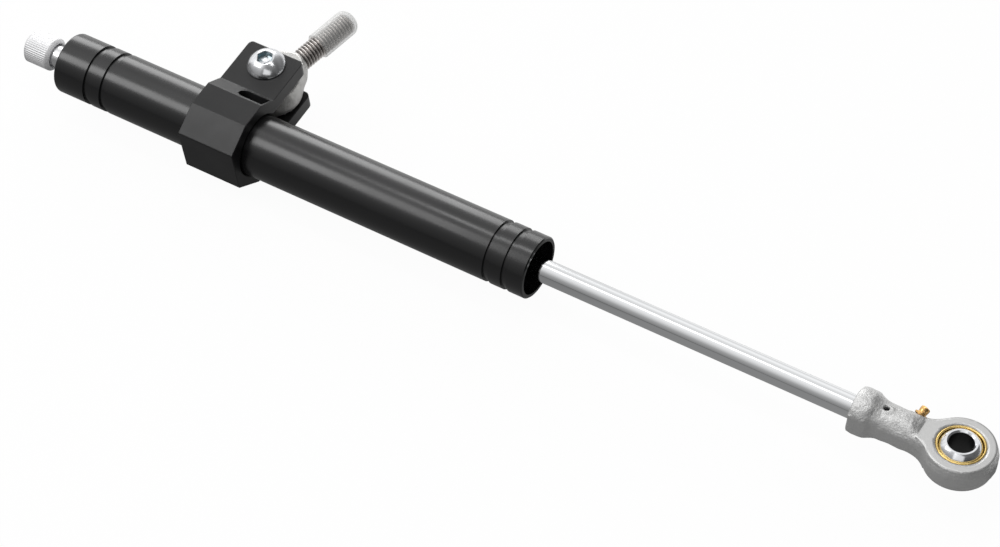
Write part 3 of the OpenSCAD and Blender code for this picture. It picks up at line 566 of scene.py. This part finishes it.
# %% [markdown]
# ## The small parts
# The clamp bolt and the knob's screw are bright plated. The sleeve that carries the knob is turned
# aluminium, and the grease nipple is plain brass. Rubber, foam and the inner metals hardly show, but
# they come into view when the damper is posed or taken apart, so each has its own finish as well.

# %% Dress the small and the inner parts
def along_finish(name, color, smooth, rough, depth_mm=0.003, edge_mm=0.12):
    """Turned metal whose rings run round the damper's own axis."""
    finish = Finish(name, color, metallic=1.0)
    along = finish.axis_value(finish.place(), "X")
    turned = finish.group(TURNED, Feed=along, Ring_Scale=5200.0, Smooth=smooth, Rough=rough)
    if edge_mm:
        finish.edges(edge_mm)
    finish.bump(turned["Height"], depth_mm)
    return finish.done()


def grained_finish(name, color, smooth, rough, scale, depth_mm, metallic=0.0, other=None, edge_mm=0.12):
    """A grained surface, with a second colour in its clouds if one is given."""
    finish = Finish(name, color, metallic)
    grain = finish.group(GRAIN, Grain_Scale=scale, Smooth=smooth, Rough=rough)
    if edge_mm:
        finish.edges(edge_mm)
    finish.bump(grain["Height"], depth_mm)
    if other is not None:
        finish.tint(grain["Cloud"], other)
    return finish.done()


dress(grained_finish("bright_plate", (0.74, 0.75, 0.77), 0.12, 0.24, 1800.0, 0.004, metallic=1.0),
      "knob_screw")
dress(along_finish("inner_aluminium", (0.58, 0.585, 0.59), 0.25, 0.4),
      "end_cap", "valve_body", "inner_tube", "rod_guide", "piston")
dress(along_finish("inner_steel", (0.46, 0.46, 0.47), 0.2, 0.35),
      "check_disc", "adjuster_spindle", "detent_ball", "detent_spring", "piston_shims", "piston_nut")
dress(along_finish("needle_brass", BRASS_COLOR, 0.2, 0.34), "adjuster_needle")
dress(along_finish("bush_bronze", (0.42, 0.27, 0.13), 0.35, 0.5), "guide_bush")
dress(grained_finish("black_spring_steel", (0.03, 0.03, 0.035), 0.3, 0.45, 2200.0, 0.004, metallic=1.0),
      "guide_circlip")
dress(grained_finish("seal_rubber", (0.010, 0.010, 0.010), 0.45, 0.6, 1400.0, 0.01,
                     other=(0.016, 0.016, 0.016)),
      "end_cap_oring", "guide_oring", "rod_seal", "rod_wiper", "needle_oring", "cushion_washer")
dress(grained_finish("band_plastic", (0.25, 0.17, 0.10), 0.4, 0.55, 1800.0, 0.01, other=(0.33, 0.24, 0.15)),
      "piston_band")
dress(grained_finish("closed_cell_foam", (0.05, 0.05, 0.05), 0.7, 0.9, 700.0, 0.15,
                     other=(0.08, 0.08, 0.08)), "foam_sleeve")
print("materials", len(bpy.data.materials))

# %% [markdown]
# ## Surfaces from arrays
# A mirror finish shows every facet of a mesh, so the turned parts that catch the light are turned again
# here, as fine grids of points: one index runs along the outline and the other runs round the axis.
# Whole arrays are computed at once, and one call puts them into the mesh. A signed volume tells
# whether the faces point outwards.

# %% Turn a grid of rings into a closed piece
def ring_faces(rows, columns, wrap_rows):
    """Quads between neighbouring rings. The columns always close, and the rows close on request."""
    row = np.arange(rows if wrap_rows else rows - 1)[:, None]
    column = np.arange(columns)[None, :]
    here, there = row * columns, (row + 1) % rows * columns
    after = (column + 1) % columns
    return np.stack([here + column, here + after, there + after, there + column], -1).reshape(-1, 4)


def signed_volume(points, faces):
    """The sum of the tetrahedra that the origin spans with each face, split into two triangles."""
    a, b, c, d = (points[faces[:, i]] for i in range(4))
    return float((np.cross(b, c) * a).sum() + (np.cross(c, d) * a).sum()) / 6


def smooth_piece(name, mesh, material, sharp_deg):
    """An object that is shaded smoothly, except across edges sharper than sharp_deg."""
    mesh.polygons.foreach_set("use_smooth", [True] * len(mesh.polygons))
    mesh.set_sharp_from_angle(angle=math.radians(sharp_deg))
    mesh.materials.clear()
    mesh.materials.append(material)
    print(name, len(mesh.polygons), "faces")
    return new_object(name, mesh)


def piece_from_rings(name, rings, material, wrap_rows=True, sharp_deg=35):
    """A mesh object from an array of rings, (rows, columns, 3) in metres. Open ends are closed flat."""
    rows, columns = rings.shape[:2]
    points = rings.reshape(-1, 3)
    faces = ring_faces(rows, columns, wrap_rows)
    first, last = list(range(columns)), list(range((rows - 1) * columns, rows * columns))
    ends = [] if wrap_rows else [first[::-1], last]
    if signed_volume(points - points.mean(0), faces) <= 0:
        faces = faces[:, ::-1]
        ends = [end[::-1] for end in ends]
    mesh = bpy.data.meshes.new(name)
    mesh.from_pydata(points.tolist(), [], faces.tolist() + ends)
    return smooth_piece(name, mesh, material, sharp_deg)


def stand_in(piece, node, body):
    """Hides the solid that a piece stands for, and attaches the piece to the body it moves with."""
    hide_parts(node)
    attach(piece, body)
    return piece


# %% [markdown]
# A turned part needs only its outline, as a list of places along the axis with their radii, and the
# frame of its axis. A round stretch of the outline is an arc, and arcs can be joined to straight runs.

# %% Carry an outline round an axis
DAMPER = (Vector((0, 0, 0)), np.eye(3))
ROD_BALL = (Vector((0, 0, 0)), np.array([[0, 0, 1], [1, 0, 0], [0, 1, 0]]))
STUD_BALL = (stud_middle, np.array([bolt_axis[:], stud_way[:], bolt_axis.cross(stud_way)[:]]))
STUD = (stud_middle, np.array([stud_way[:], bolt_axis.cross(stud_way)[:], bolt_axis[:]]))


def arc_points(middle, radius, start, end, steps=8):
    """Points [along, radius] on an arc: the middle, plus the arc's radius times cosine and sine."""
    a = np.radians(np.linspace(start, end, steps + 1))
    return np.stack([middle[0] + radius * np.cos(a), middle[1] + radius * np.sin(a)], -1)


def turned_rings(frame_of_axis, along, radius, turn):
    """The lathe's formula: middle + along * axis + radius * (cos turn * across + sin turn * up). The
    arrays are in millimetres and are stretched to one shape, (rows, columns)."""
    middle, axes = frame_of_axis
    along, radius, turn = np.broadcast_arrays(along, radius, turn)
    local = np.stack([along, radius * np.cos(turn), radius * np.sin(turn)], -1)
    return np.array(middle[:]) + (local * MM) @ axes


def full_turn(columns):
    """The angles of a ring's points, as one row."""
    return np.linspace(0, 2 * np.pi, columns, endpoint=False)[None, :]


def turned_piece(name, frame_of_axis, outline, material, columns=160, wrap_rows=True, sharp_deg=35):
    """A closed piece from an outline of points [along, radius]."""
    outline = np.array(outline, dtype=float)
    rings = turned_rings(frame_of_axis, outline[:, :1], outline[:, 1:2], full_turn(columns))
    return piece_from_rings(name, rings, material, wrap_rows, sharp_deg)


# %% [markdown]
# ## The cylinder
# The tube is black both outside and in its open mouth. Its closed end is rounded, its rim is broken with
# a small chamfer, and two grooves run round it near each end. All of these catch thin lines of light,
# so the outline goes right round the section of the tube, grooves included.

# %% Turn the cylinder
TUBE_WALL = 1.5
EDGE_ROUND = 0.9
RIM_CHAMFER = 0.4
GROOVE_WIDTH, GROOVE_DEPTH, GROOVE_LEAN = 2.0, 0.7, 0.15
GROOVES_FROM_CLOSED = (13.9, 20.9)
GROOVES_FROM_RIM = (14.1, 7.1)
CLIP_GROOVE = (7.02, 5.98, 0.5)


def tube_outline():
    """Points [x, radius] round the tube's section: the outside from left to right, then the bore."""
    left, rim, r = span_and_radius(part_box("cylinder_tube"))
    bore = r - TUBE_WALL
    round_left = arc_points((left + EDGE_ROUND, r - EDGE_ROUND), EDGE_ROUND, 180, 90, 6)
    middles = [left + gap for gap in GROOVES_FROM_CLOSED] + [rim - gap for gap in GROOVES_FROM_RIM]
    half, bottom = GROOVE_WIDTH / 2, r - GROOVE_DEPTH
    lip = half + GROOVE_LEAN
    grooves = [[[x - lip, r], [x - half, bottom], [x + half, bottom], [x + lip, r]] for x in middles]
    deep, shallow, cut = CLIP_GROOVE
    return np.concatenate([
        [[left, bore]], round_left, *grooves, [[rim - RIM_CHAMFER, r], [rim, r - RIM_CHAMFER], [rim, bore]],
        [[rim - shallow, bore], [rim - shallow, bore + cut], [rim - deep, bore + cut], [rim - deep, bore]]])


tube = turned_piece("turned_cylinder", DAMPER, tube_outline(), black_tube, columns=256)
stand_in(tube, "cylinder_tube", "cylinder")

# %% [markdown]
# ## The rod
# The rod is one long cylinder with a thinner tail for the piston. Its end sits in the head's socket.

# %% Turn the rod
TAIL_RADIUS, TAIL_CHAMFER = 3.0, 0.5
TIP_CHAMFER = 0.8


def rod_outline():
    """Points [x, radius] from the end of the tail to the tip in the head."""
    left, tip, r = span_and_radius(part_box("piston_rod"))
    shoulder = in_mm(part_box("cushion_washer"))[0][0]
    return [[left, TAIL_RADIUS - TAIL_CHAMFER], [left + TAIL_CHAMFER, TAIL_RADIUS],
            [shoulder, TAIL_RADIUS], [shoulder, r], [tip - TIP_CHAMFER, r], [tip, r - TIP_CHAMFER]]


rod = turned_piece("chromed_rod", DAMPER, rod_outline(), chrome, columns=192, wrap_rows=False)
stand_in(rod, "piston_rod", "rod")

# %% [markdown]
# ## Balls and races
# Each ball is a ground sphere cut flat on two sides, with a bore through it whose edges are chamfered.
# Its race is a brass ring that is pressed into the head, with only a thin bead showing round the ball.

# %% Turn both balls and both races
BALL_RADIUS = 15.875 / 2
BALL_HALF = 6.0
BORE_CHAMFER = 0.6
RACE_RADIUS, RACE_STRAIGHT = 9.3, 2.88
BEAD_OUT, BEAD_IN = 7.9, 7.2
BEAD_RISE = 0.35
RACE_GAP = 0.04


def ball_outline():
    """Points [height, radius]: down the sphere from its upper flat, then up the bore."""
    edge = math.degrees(math.asin(BALL_HALF / BALL_RADIUS))
    sphere = arc_points((0, 0), BALL_RADIUS, 90 - edge, 90 + edge, 48)
    bore, lip = BALL_BORE / 2, BALL_BORE / 2 + BORE_CHAMFER
    inner = BALL_HALF - BORE_CHAMFER
    return np.concatenate([[[BALL_HALF, lip]], sphere,
                           [[-BALL_HALF, lip], [-inner, bore], [inner, bore]]])


def race_outline():
    """Points [height, radius] round the race's section. Each bead is half an ellipse."""
    a = np.radians(np.linspace(0, 180, 9))
    wide = (BEAD_OUT - BEAD_IN) / 2
    bead = np.stack([HEAD_FACE - BEAD_RISE * (1 - np.sin(a)), BEAD_IN + wide * (1 - np.cos(a))], -1)
    reach = BALL_RADIUS + RACE_GAP
    low = math.degrees(math.acos(BEAD_IN / reach))
    seat = arc_points((0, 0), reach, 90 + low, 90 - low, 24)
    back = [[RACE_STRAIGHT, RACE_RADIUS], [-RACE_STRAIGHT, RACE_RADIUS]]
    return np.concatenate([bead, back, bead[::-1] * [-1, 1], seat])


for title, axis, body, turn in (("rod_end", ROD_BALL, "rod", (0, 0, 0)),
                                ("stud", STUD_BALL, "stud", stud_turn)):
    steel = ball_finish("ground_" + title, axis[0], turn)
    ball = turned_piece("ground_ball_" + title, axis, ball_outline(), steel, 128)
    stand_in(ball, title + "_ball", body + "_ball")
    brass = round_bore_finish("turned_brass_" + title, BRASS_COLOR, 0.18, 0.26, 0.001, axis[0], turn)
    race = turned_piece("brass_race_" + title, axis, race_outline(), brass, 128)
    stand_in(race, title + "_race", body)

# %% [markdown]
# ## The adjuster
# A straight knurl is a ring of small ridges along the knob. The outline of the knob, bore included, is
# carried round its axis, and only the run between the two chamfers gets the ridges. Near each chamfer
# their height fades to nothing, as it does where a knurling wheel runs out. The sleeve that carries the
# knob is plain and turned smooth.

# %% Make the knurled knob and its sleeve
KNURL_TEETH, KNURL_STEPS = 48, 8
KNURL_DEPTH, KNURL_FADE = 0.16, 0.5
KNOB_CHAMFER, BROKEN_EDGE = 1.0, 0.15
KNOB_WALL, KNOB_LAND = 4.0, 3.5
SCREW_RECESS, RECESS_DEPTH, SCREW_BORE = 2.6, 1.4, 1.2
NECK_RADIUS, NECK_GAP = 3.9, 0.5
SPINDLE_RADIUS, SPINDLE_SOCKET = 2.0, 1.6
RUN_PLAY, SEAT_PLAY = 0.04, 0.02


def rise(value, start, width):
    """0 up to start, 1 past start + width, and a straight ramp between them."""
    return np.clip((value - start) / width, 0, 1)


def knob_outline():
    """Points [x, radius, ridge] in millimetres round the knob's section, as one closed loop."""
    x0, x1, r = span_and_radius(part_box("adjuster_knob"))
    hub, shoulder, edge = x0 + KNOB_WALL, r - KNOB_CHAMFER, BROKEN_EDGE
    neck, mouth, spindle = NECK_RADIUS + RUN_PLAY, NECK_RADIUS + NECK_GAP, SPINDLE_RADIUS + SEAT_PLAY
    run = np.linspace(x0 + KNOB_CHAMFER, x1 - KNOB_CHAMFER, 14)
    ridge = rise(np.minimum(run - run[0], run[-1] - run), 0, KNURL_FADE)
    body = [[x, r, k] for x, k in zip(run, ridge)]
    return np.array([
        [x0 + RECESS_DEPTH, SCREW_BORE, 0], [x0 + RECESS_DEPTH, SCREW_RECESS, 0],
        [x0 + edge, SCREW_RECESS, 0], [x0, SCREW_RECESS + edge, 0],
        [x0, shoulder - 0.2, 0], [x0 + edge, shoulder, 0], *body,
        [x1 - edge, shoulder, 0], [x1, shoulder - 0.2, 0], [x1, mouth + edge, 0], [x1 - edge, mouth, 0],
        [hub + KNOB_LAND, mouth, 0], [hub + KNOB_LAND, neck, 0], [hub, neck, 0], [hub, spindle, 0],
        [hub - SPINDLE_SOCKET, spindle, 0], [hub - SPINDLE_SOCKET, SCREW_BORE, 0]])


def knurled_rings(outline):
    """Each outline point goes round the axis at its radius, less the knurl's depth times a wave that
    rises and falls once a tooth."""
    turn = full_turn(KNURL_TEETH * KNURL_STEPS)
    wave = 0.5 + 0.5 * np.cos(turn * KNURL_TEETH)
    x, r, ridge = (outline[:, i:i + 1] for i in range(3))
    return turned_rings(DAMPER, x, r - KNURL_DEPTH * ridge * (1 - wave), turn)


def sleeve_outline():
    """Points [x, radius] round the sleeve's section, a plain rectangle."""
    left, right, _ = span_and_radius(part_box("adjuster_sleeve"))
    bore = SPINDLE_RADIUS + RUN_PLAY
    return [[left, bore], [left, NECK_RADIUS], [right, NECK_RADIUS], [right, bore]]


knob_metal = grained_finish("satin_aluminium", (0.84, 0.84, 0.85), 0.45, 0.55, 1500.0, 0.002, metallic=0.35,
                            edge_mm=0)
sleeve_metal = along_finish("turned_aluminium", (0.84, 0.84, 0.85), 0.20, 0.32, 0.002, edge_mm=0)
knob = piece_from_rings("knurled_knob", knurled_rings(knob_outline()), knob_metal, sharp_deg=60)
stand_in(knob, "adjuster_knob", "knob")
sleeve = turned_piece("turned_sleeve", DAMPER, sleeve_outline(), sleeve_metal, 128)
stand_in(sleeve, "adjuster_sleeve", "cylinder")

# %% [markdown]
# ## The clamp's bolt
# A button head is a low dome with a hexagon socket in its crown. A grid can make both: the rings in the
# socket follow a hexagon, the rings of the dome are round, and one number per ring says how much of the
# hexagon it takes.

# %% Make the bolt
SOCKET_FLATS, SOCKET_DEPTH = 4.9, 2.4
SOCKET_CORNER = SOCKET_FLATS / 2 / math.cos(math.radians(30))
CROWN_FLAT = 0.35
BUTTON_RADIUS, BUTTON_HEIGHT, BUTTON_RIM = 6.8, 4.0, 0.4
SHANK_RADIUS, SHANK_CHAMFER = 3.97, 0.8
EAR_TOP, BOLT_TIP = 11.3, 10.9
BUTTON_TOP = EAR_TOP + BUTTON_HEIGHT
SOCKET_FLOOR = BUTTON_TOP - SOCKET_DEPTH
BOLT = (stud_middle, np.array([bolt_axis[:], [1, 0, 0], bolt_axis.cross(Vector((1, 0, 0)))[:]]))


def bolt_outline():
    """Points [height, radius, hexagon] from the middle of the socket's floor, over the dome and down the
    shank. The dome is an arc whose centre lies on the bolt's axis."""
    corner, top, floor = SOCKET_CORNER, BUTTON_TOP, SOCKET_FLOOR
    crown = corner + CROWN_FLAT
    rise_of_dome = BUTTON_HEIGHT - BUTTON_RIM
    drop = (BUTTON_RADIUS ** 2 - crown ** 2 - rise_of_dome ** 2) / (2 * rise_of_dome)
    radius = math.hypot(BUTTON_RADIUS, drop)
    start, end = math.degrees(math.acos(crown / radius)), math.degrees(math.asin(drop / radius))
    a = np.radians(np.linspace(start, end, 17))
    dome = np.stack([EAR_TOP + BUTTON_RIM - drop + radius * np.sin(a), radius * np.cos(a), 0 * a], -1)
    socket = [[floor - 0.5, 0.02, 0], [floor - 0.4, 0.8, 0.5], [floor, corner - 0.35, 1],
              [floor + 0.02, corner, 1], [top - 0.2, corner, 1], [top, corner + 0.2, 1],
              [top, corner + 0.25, 0.6]]
    shank = [[EAR_TOP, BUTTON_RADIUS - 0.2, 0], [EAR_TOP, SHANK_RADIUS, 0],
             [-BOLT_TIP + SHANK_CHAMFER, SHANK_RADIUS, 0], [-BOLT_TIP, SHANK_RADIUS - SHANK_CHAMFER, 0]]
    return np.concatenate([socket, dome, shank])


def socket_rings(outline, columns=144):
    """Each ring's radius is multiplied by a mix of 1 and the hexagon's own formula, the cosine of 30
    degrees over the cosine of the angle from the nearest flat's middle."""
    turn = full_turn(columns)
    height, radius, share = (outline[:, i:i + 1] for i in range(3))
    sixth = np.pi / 3
    hexagon = math.cos(sixth / 2) / np.cos(turn % sixth - sixth / 2)
    return turned_rings(BOLT, height, radius * (1 - share + share * hexagon), turn)


def bolt_finish():
    """Bright plate, with the inside of the socket above its floor painted a darker blue-grey as painted
    shade.
    """
    finish = Finish("bright_bolt", (0.84, 0.85, 0.87), metallic=1.0)
    grain = finish.group(GRAIN, Grain_Scale=1400.0, Cloud_Scale=300.0, Smooth=0.15, Rough=0.24)
    place = finish.place(stud_middle, stud_turn)
    height = finish.axis_value(place, "Z")
    outside = finish.step(finish.radius_value(place), SOCKET_CORNER + 0.06)
    on_crown = finish.step(height, BUTTON_TOP - 0.14, 0.03)
    inside = finish.compute("SUBTRACT", 1.0, finish.compute("MAXIMUM", outside, on_crown))
    # The socket's sides above its floor get a darker blue-grey tint: painted shade.
    painted_shade_sides = finish.compute("MULTIPLY", finish.step(height, SOCKET_FLOOR + 0.1), inside)
    finish.set(Roughness=finish.blend_value(painted_shade_sides, grain["Roughness"], 0.3))
    finish.bump(grain["Height"], 0.003)
    finish.tint(painted_shade_sides, (0.22, 0.30, 0.33))
    return finish.done()


bolt = piece_from_rings("button_bolt", socket_rings(bolt_outline()), bolt_finish(), wrap_rows=False)
stand_in(bolt, "clamp_bolt", "clamp")

# %% [markdown]
# ## The grease nipple
# A small brass nipple sits on the far side of the neck: a flange, a short waist and a body that ends in a
# flat top with a dimple for the gun's tip. It leans a little towards the head, so its axis is worked out
# from the two turns that set it.

# %% Turn the nipple
NIPPLE_FROM_BALL = 16.2
NIPPLE_SEAT = 6.1
NIPPLE_TILT, NIPPLE_LEAN = math.radians(30), math.radians(14)


def nipple_axis():
    """The nipple's foot on the neck, and its axes with the outward one first."""
    out = np.array([0, math.cos(NIPPLE_TILT), math.sin(NIPPLE_TILT)])
    along = math.cos(NIPPLE_LEAN) * out + math.sin(NIPPLE_LEAN) * np.array([1, 0, 0])
    across = np.array([0, -math.sin(NIPPLE_TILT), math.cos(NIPPLE_TILT)])
    foot = (np.array([-NIPPLE_FROM_BALL, 0, 0]) + NIPPLE_SEAT * out) * MM
    return Vector(foot), np.array([along, across, np.cross(along, across)])


NIPPLE_OUTLINE = [[-1.6, 1.3], [0, 1.4], [0, 2.1], [0.12, 2.2], [0.6, 2.2], [0.72, 2.1], [0.8, 1.5],
                  [1.1, 1.42], [1.4, 1.5], [2.5, 1.6], [2.95, 1.5], [3.15, 1.2], [3.2, 0.95], [3.2, 0.5],
                  [2.6, 0.35]]
nipple_brass = grained_finish("nipple_brass", (0.80, 0.50, 0.20), 0.16, 0.28, 1600.0, 0.003, metallic=1.0,
                              other=(0.72, 0.42, 0.15), edge_mm=0)
nipple = turned_piece("turned_nipple", nipple_axis(), NIPPLE_OUTLINE, nipple_brass, 64, wrap_rows=False)
stand_in(nipple, "grease_nipple", "rod")

# %% [markdown]
# ## The forged heads
# The solids of the two heads have their right shape already, but a forging is never so clean: the die
# is worn round at its corners, and scale that was beaten into the skin leaves dents. A merged copy of
# each head is split into small triangles. A few rounds of averaging round its corners, and a sum of
# waves dents it. What the cutter has touched stays as it is, so a mask is worked out first.

# %% Find the skin of a forging and dent it
SPLIT_ROUNDS, SPLIT_LONGER = 5, 1.2
SEAT_EDGE, SOCKET_EDGE, NECK_FROM = 9.8, 5.2, 13.0
DENT_WAVES = ((5.8, 0.12), (3.4, 0.09), (2.2, 0.06))
WAVES_EACH = 9
WORN_ROUNDS = 8
FORGED_SHARP = 40


def skin_mask(points, frame_of_axis, neck_way, kept):
    """1 on the forged skin and 0 at the seat's edge, on the cut faces, inside the neck and in the small
    holes, which are given as (middle, radius) in millimetres. points are metres, (count, 3)."""
    middle, axes = frame_of_axis
    height, along, across = ((points - np.array(middle[:])) @ axes.T / MM).T
    along, height = along * neck_way, np.abs(height)
    eye = rise(np.hypot(along, across), SEAT_EDGE, 0.5)
    face = np.where(along < FACE_CUT, rise(np.abs(height - HEAD_FACE), 0, 0.25), 1)
    neck = np.where(along > NECK_FROM, rise(np.hypot(height, across), SOCKET_EDGE, 0.4), 1)
    mask = eye * face * neck
    for hole, radius in kept:
        mask = mask * rise(np.linalg.norm(points / MM - hole, axis=1), radius, 0.4)
    return mask


def dent_depth(points):
    """A smooth depth in millimetres that looks random. Each wavelength adds the sum of several sine
    waves over the root of their number, cut off at -1 and 1 and moved up so that it is never below 0.
    Their directions are spread over a ball by the golden angle."""
    n = np.arange(WAVES_EACH)
    up = 1 - 2 * (n + 0.5) / WAVES_EACH
    turn = n * math.pi * (3 - math.sqrt(5))
    ways = np.stack([np.sqrt(1 - up ** 2) * np.cos(turn), np.sqrt(1 - up ** 2) * np.sin(turn), up], -1)
    depth = 0
    for wavelength, deepest in DENT_WAVES:
        phase = points @ ways.T * (2 * np.pi / (wavelength * MM)) + 1.7 * n ** 2
        depth = depth + deepest * (0.5 + 0.5 * np.clip(np.sin(phase).sum(1) / math.sqrt(WAVES_EACH), -1, 1))
    return depth


def averaged(points, edges, mask):
    """Each round moves every point half way to the mean of its neighbours, by its mask."""
    count = np.bincount(edges.ravel(), minlength=len(points))[:, None]
    for _ in range(WORN_ROUNDS):
        total = np.zeros_like(points)
        np.add.at(total, edges[:, 0], points[edges[:, 1]])
        np.add.at(total, edges[:, 1], points[edges[:, 0]])
        points = points + 0.5 * mask[:, None] * (total / count - points)
    return points


def wear_skin(mesh, frame_of_axis, neck_way, kept, depth_share):
    """Rounds and dents the skin of a forging. The dents go in along the surface's own normals."""
    points, normals = np.empty((2, len(mesh.vertices) * 3))
    edges = np.empty(len(mesh.edges) * 2, dtype=np.int32)
    mesh.vertices.foreach_get("co", points)
    mesh.edges.foreach_get("vertices", edges)
    points, edges = points.reshape(-1, 3), edges.reshape(-1, 2)
    mask = skin_mask(points, frame_of_axis, neck_way, kept)
    points = averaged(points, edges, mask)
    mesh.vertices.foreach_set("co", points.ravel())
    mesh.update()
    mesh.vertex_normals.foreach_get("vector", normals)
    depth = depth_share * mask * dent_depth(points)
    points = points - depth[:, None] * MM * normals.reshape(-1, 3)
    mesh.vertices.foreach_set("co", points.ravel())
    mesh.update()
    print(mesh.name, "is dented by up to", round(depth.max(), 2), "mm")


print("deepest possible dent", round(sum(deepest for _, deepest in DENT_WAVES), 2), "mm")

# %% [markdown]
# The copies share their corners, so their rounds can be shaded smoothly, and normals weighted by area
# keep the flat faces flat beside them. The skin round the two small holes of the neck stays smooth: each
# mouth below is a middle and a radius.

# %% Copy the heads
def merged_copy(node, name, material, wear, cut_point=None, cut_normal=None):
    """A worn copy of a node's mesh with its corners merged. What lies past the cutting plane goes."""
    mesh = nodes[node].data.copy()
    mesh.name = name
    shape = bmesh.new()
    shape.from_mesh(mesh)
    bmesh.ops.remove_doubles(shape, verts=shape.verts, dist=0.002 * MM)
    if cut_point is not None:
        everything = shape.verts[:] + shape.edges[:] + shape.faces[:]
        bmesh.ops.bisect_plane(shape, geom=everything, plane_co=cut_point, plane_no=cut_normal,
                               clear_outer=True)
        bmesh.ops.holes_fill(shape, edges=[edge for edge in shape.edges if edge.is_boundary])
        bmesh.ops.recalc_face_normals(shape, faces=shape.faces)
    for _ in range(SPLIT_ROUNDS):
        bmesh.ops.triangulate(shape, faces=[face for face in shape.faces if len(face.verts) > 3])
        long = [edge for edge in shape.edges if edge.calc_length() > SPLIT_LONGER * MM]
        bmesh.ops.subdivide_edges(shape, edges=long, cuts=1)
    bmesh.ops.triangulate(shape, faces=[face for face in shape.faces if len(face.verts) > 3])
    shape.to_mesh(mesh)
    shape.free()
    wear_skin(mesh, *wear)
    piece = smooth_piece(name, mesh, material, FORGED_SHARP)
    piece.modifiers.new("flat_faces", "WEIGHTED_NORMAL").keep_sharp = True
    return piece


WITNESS_MOUTH = ((-25.5, 0, 6.2), 1.9)
NIPPLE_MOUTH = (tuple(np.array(nipple_axis()[0][:]) / MM), 3.0)
rod_end = merged_copy("rod_end_head", "rod_end_forging", forged_steel,
                      (ROD_BALL, -1, (WITNESS_MOUTH, NIPPLE_MOUTH), 1.0))
stand_in(rod_end, "rod_end_head", "rod")

# %% [markdown]
# ## The stud's thread
# A screw thread is a helix: the radius depends on the distance along the stud and on the share of a turn
# made. Here the two are added, which winds the thread left-handed. Taking the turn away instead would
# wind it right-handed, as most studs are. The solid's stud is a plain bar of the thread's outside
# diameter, so the copy of its head is cut off where the thread starts, and the thread is set in its
# place.

# %% Cut the plain bar off and set the thread
THREAD_PITCH, THREAD_DEPTH = 1.25, 0.66
THREAD_START, THREAD_END = 13.9, 37.3
THREAD_RADIUS = 3.95
THREAD_COLUMNS = 96
FLANK_SLOPE, CREST_FLAT = 2.6, 0.15
POINT_TAPER, START_FADE = 1.0, 0.8


def thread_rings():
    """Rings along the stud's own axis. The radius falls from the crest to the root and back once a
    pitch, as a triangle with its top and bottom cut flat, and it is tapered at both ends."""
    rows = int((THREAD_END - THREAD_START) / THREAD_PITCH * 12)
    along = np.linspace(THREAD_START, THREAD_END, rows)[:, None]
    turn = full_turn(THREAD_COLUMNS)
    phase = (along / THREAD_PITCH + turn / (2 * np.pi)) % 1
    radius = THREAD_RADIUS - THREAD_DEPTH * rise(FLANK_SLOPE * np.abs(phase - 0.5), CREST_FLAT, 1)
    point = rise(THREAD_END - along, 0, POINT_TAPER)
    radius = np.minimum(radius, THREAD_RADIUS - POINT_TAPER * (1 - point))
    fade = rise(along, THREAD_START, START_FADE)
    radius = fade * radius + (1 - fade) * (THREAD_RADIUS - THREAD_DEPTH)
    return turned_rings(STUD, along, radius, turn)


def thread_finish():
    """Bright crests over roots that are painted dark, as painted shade in the thread's grooves."""
    finish = Finish("thread_steel", (0.13, 0.12, 0.115), metallic=1.0)
    finish.group(GRAIN, Grain_Scale=1600.0, Cloud_Scale=200.0, Smooth=0.26, Rough=0.40)
    radius = finish.radius_value(finish.place(stud_middle, stud_turn), across=(0, 1, 1))
    # The roots keep the dark base colour as painted shade, and the crests are tinted bright.
    finish.tint(finish.step(radius, THREAD_RADIUS - 0.6 * THREAD_DEPTH, 0.2), (0.72, 0.685, 0.66))
    return finish.done()


thread_cut = stud_middle + (THREAD_START + 0.1) * MM * stud_way
stud_body = merged_copy("stud_head", "stud_forging", stud_steel, (STUD_BALL, 1, (), 0.5),
                        thread_cut, stud_way)
thread = piece_from_rings("stud_thread", thread_rings(), thread_finish(), wrap_rows=False, sharp_deg=50)
for piece in (stud_body, thread):
    stand_in(piece, "stud_head", "stud")

# %% [markdown]
# ## The soft cap
# The cap over the thread is a dipped sleeve of soft, milky plastic. The thread shows through it where
# the wall is seen straight on, and hardly at the rims, where the light takes a longer way through the
# wall. So the skin lets a share of the light straight through, and that share falls towards the edge
# of the view.

# %% Turn the cap
CAP_START, CAP_RADIUS, CAP_END = 22.8, 4.8, 39.5
CAP_BORE, CAP_BORE_END = 3.99, 37.6


def cap_outline():
    """Points [along, radius]: out along the skin, round the closed end, and back up the bore."""
    round_end = 0.7 * CAP_RADIUS
    end = arc_points((CAP_END - round_end, CAP_RADIUS - round_end), round_end, 90, 0, 16)
    lip = 0.15
    return np.concatenate([
        [[CAP_START + lip, CAP_RADIUS]], end, [[CAP_END, 0.4], [CAP_END - 0.01, 0.02]],
        [[CAP_BORE_END, r] for r in (0.02, 0.4, CAP_BORE - 0.6)], [[CAP_BORE_END - 0.6, CAP_BORE]],
        [[CAP_START, CAP_BORE], [CAP_START, CAP_RADIUS - lip]]])


def cap_finish():
    """Milky skin that lets less light straight through where it is seen at a slant."""
    finish = Finish("clear_soft_plastic", (0.74, 0.74, 0.73), IOR=1.4)
    grain = finish.group(GRAIN, Grain_Scale=500.0, Cloud_Scale=150.0, Smooth=0.16, Rough=0.26)
    facing = finish.add("LayerWeight", Blend=0.24).outputs["Facing"]
    finish.set(Alpha=finish.blend_value(facing, 0.18, 0.95))
    finish.tint(grain["Cloud"], (0.80, 0.80, 0.79))
    return finish.done()


cap = turned_piece("soft_cap", STUD, cap_outline(), cap_finish(), 128)
stand_in(cap, "stud_cap", "stud_cap")

# %% Compare the boxes and finish
visual_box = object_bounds()
growth = zip(cad_box[1] - cad_box[0], visual_box[1] - visual_box[0])
print("grown by", [round((after - before) / MM, 2) for before, after in growth], "mm")
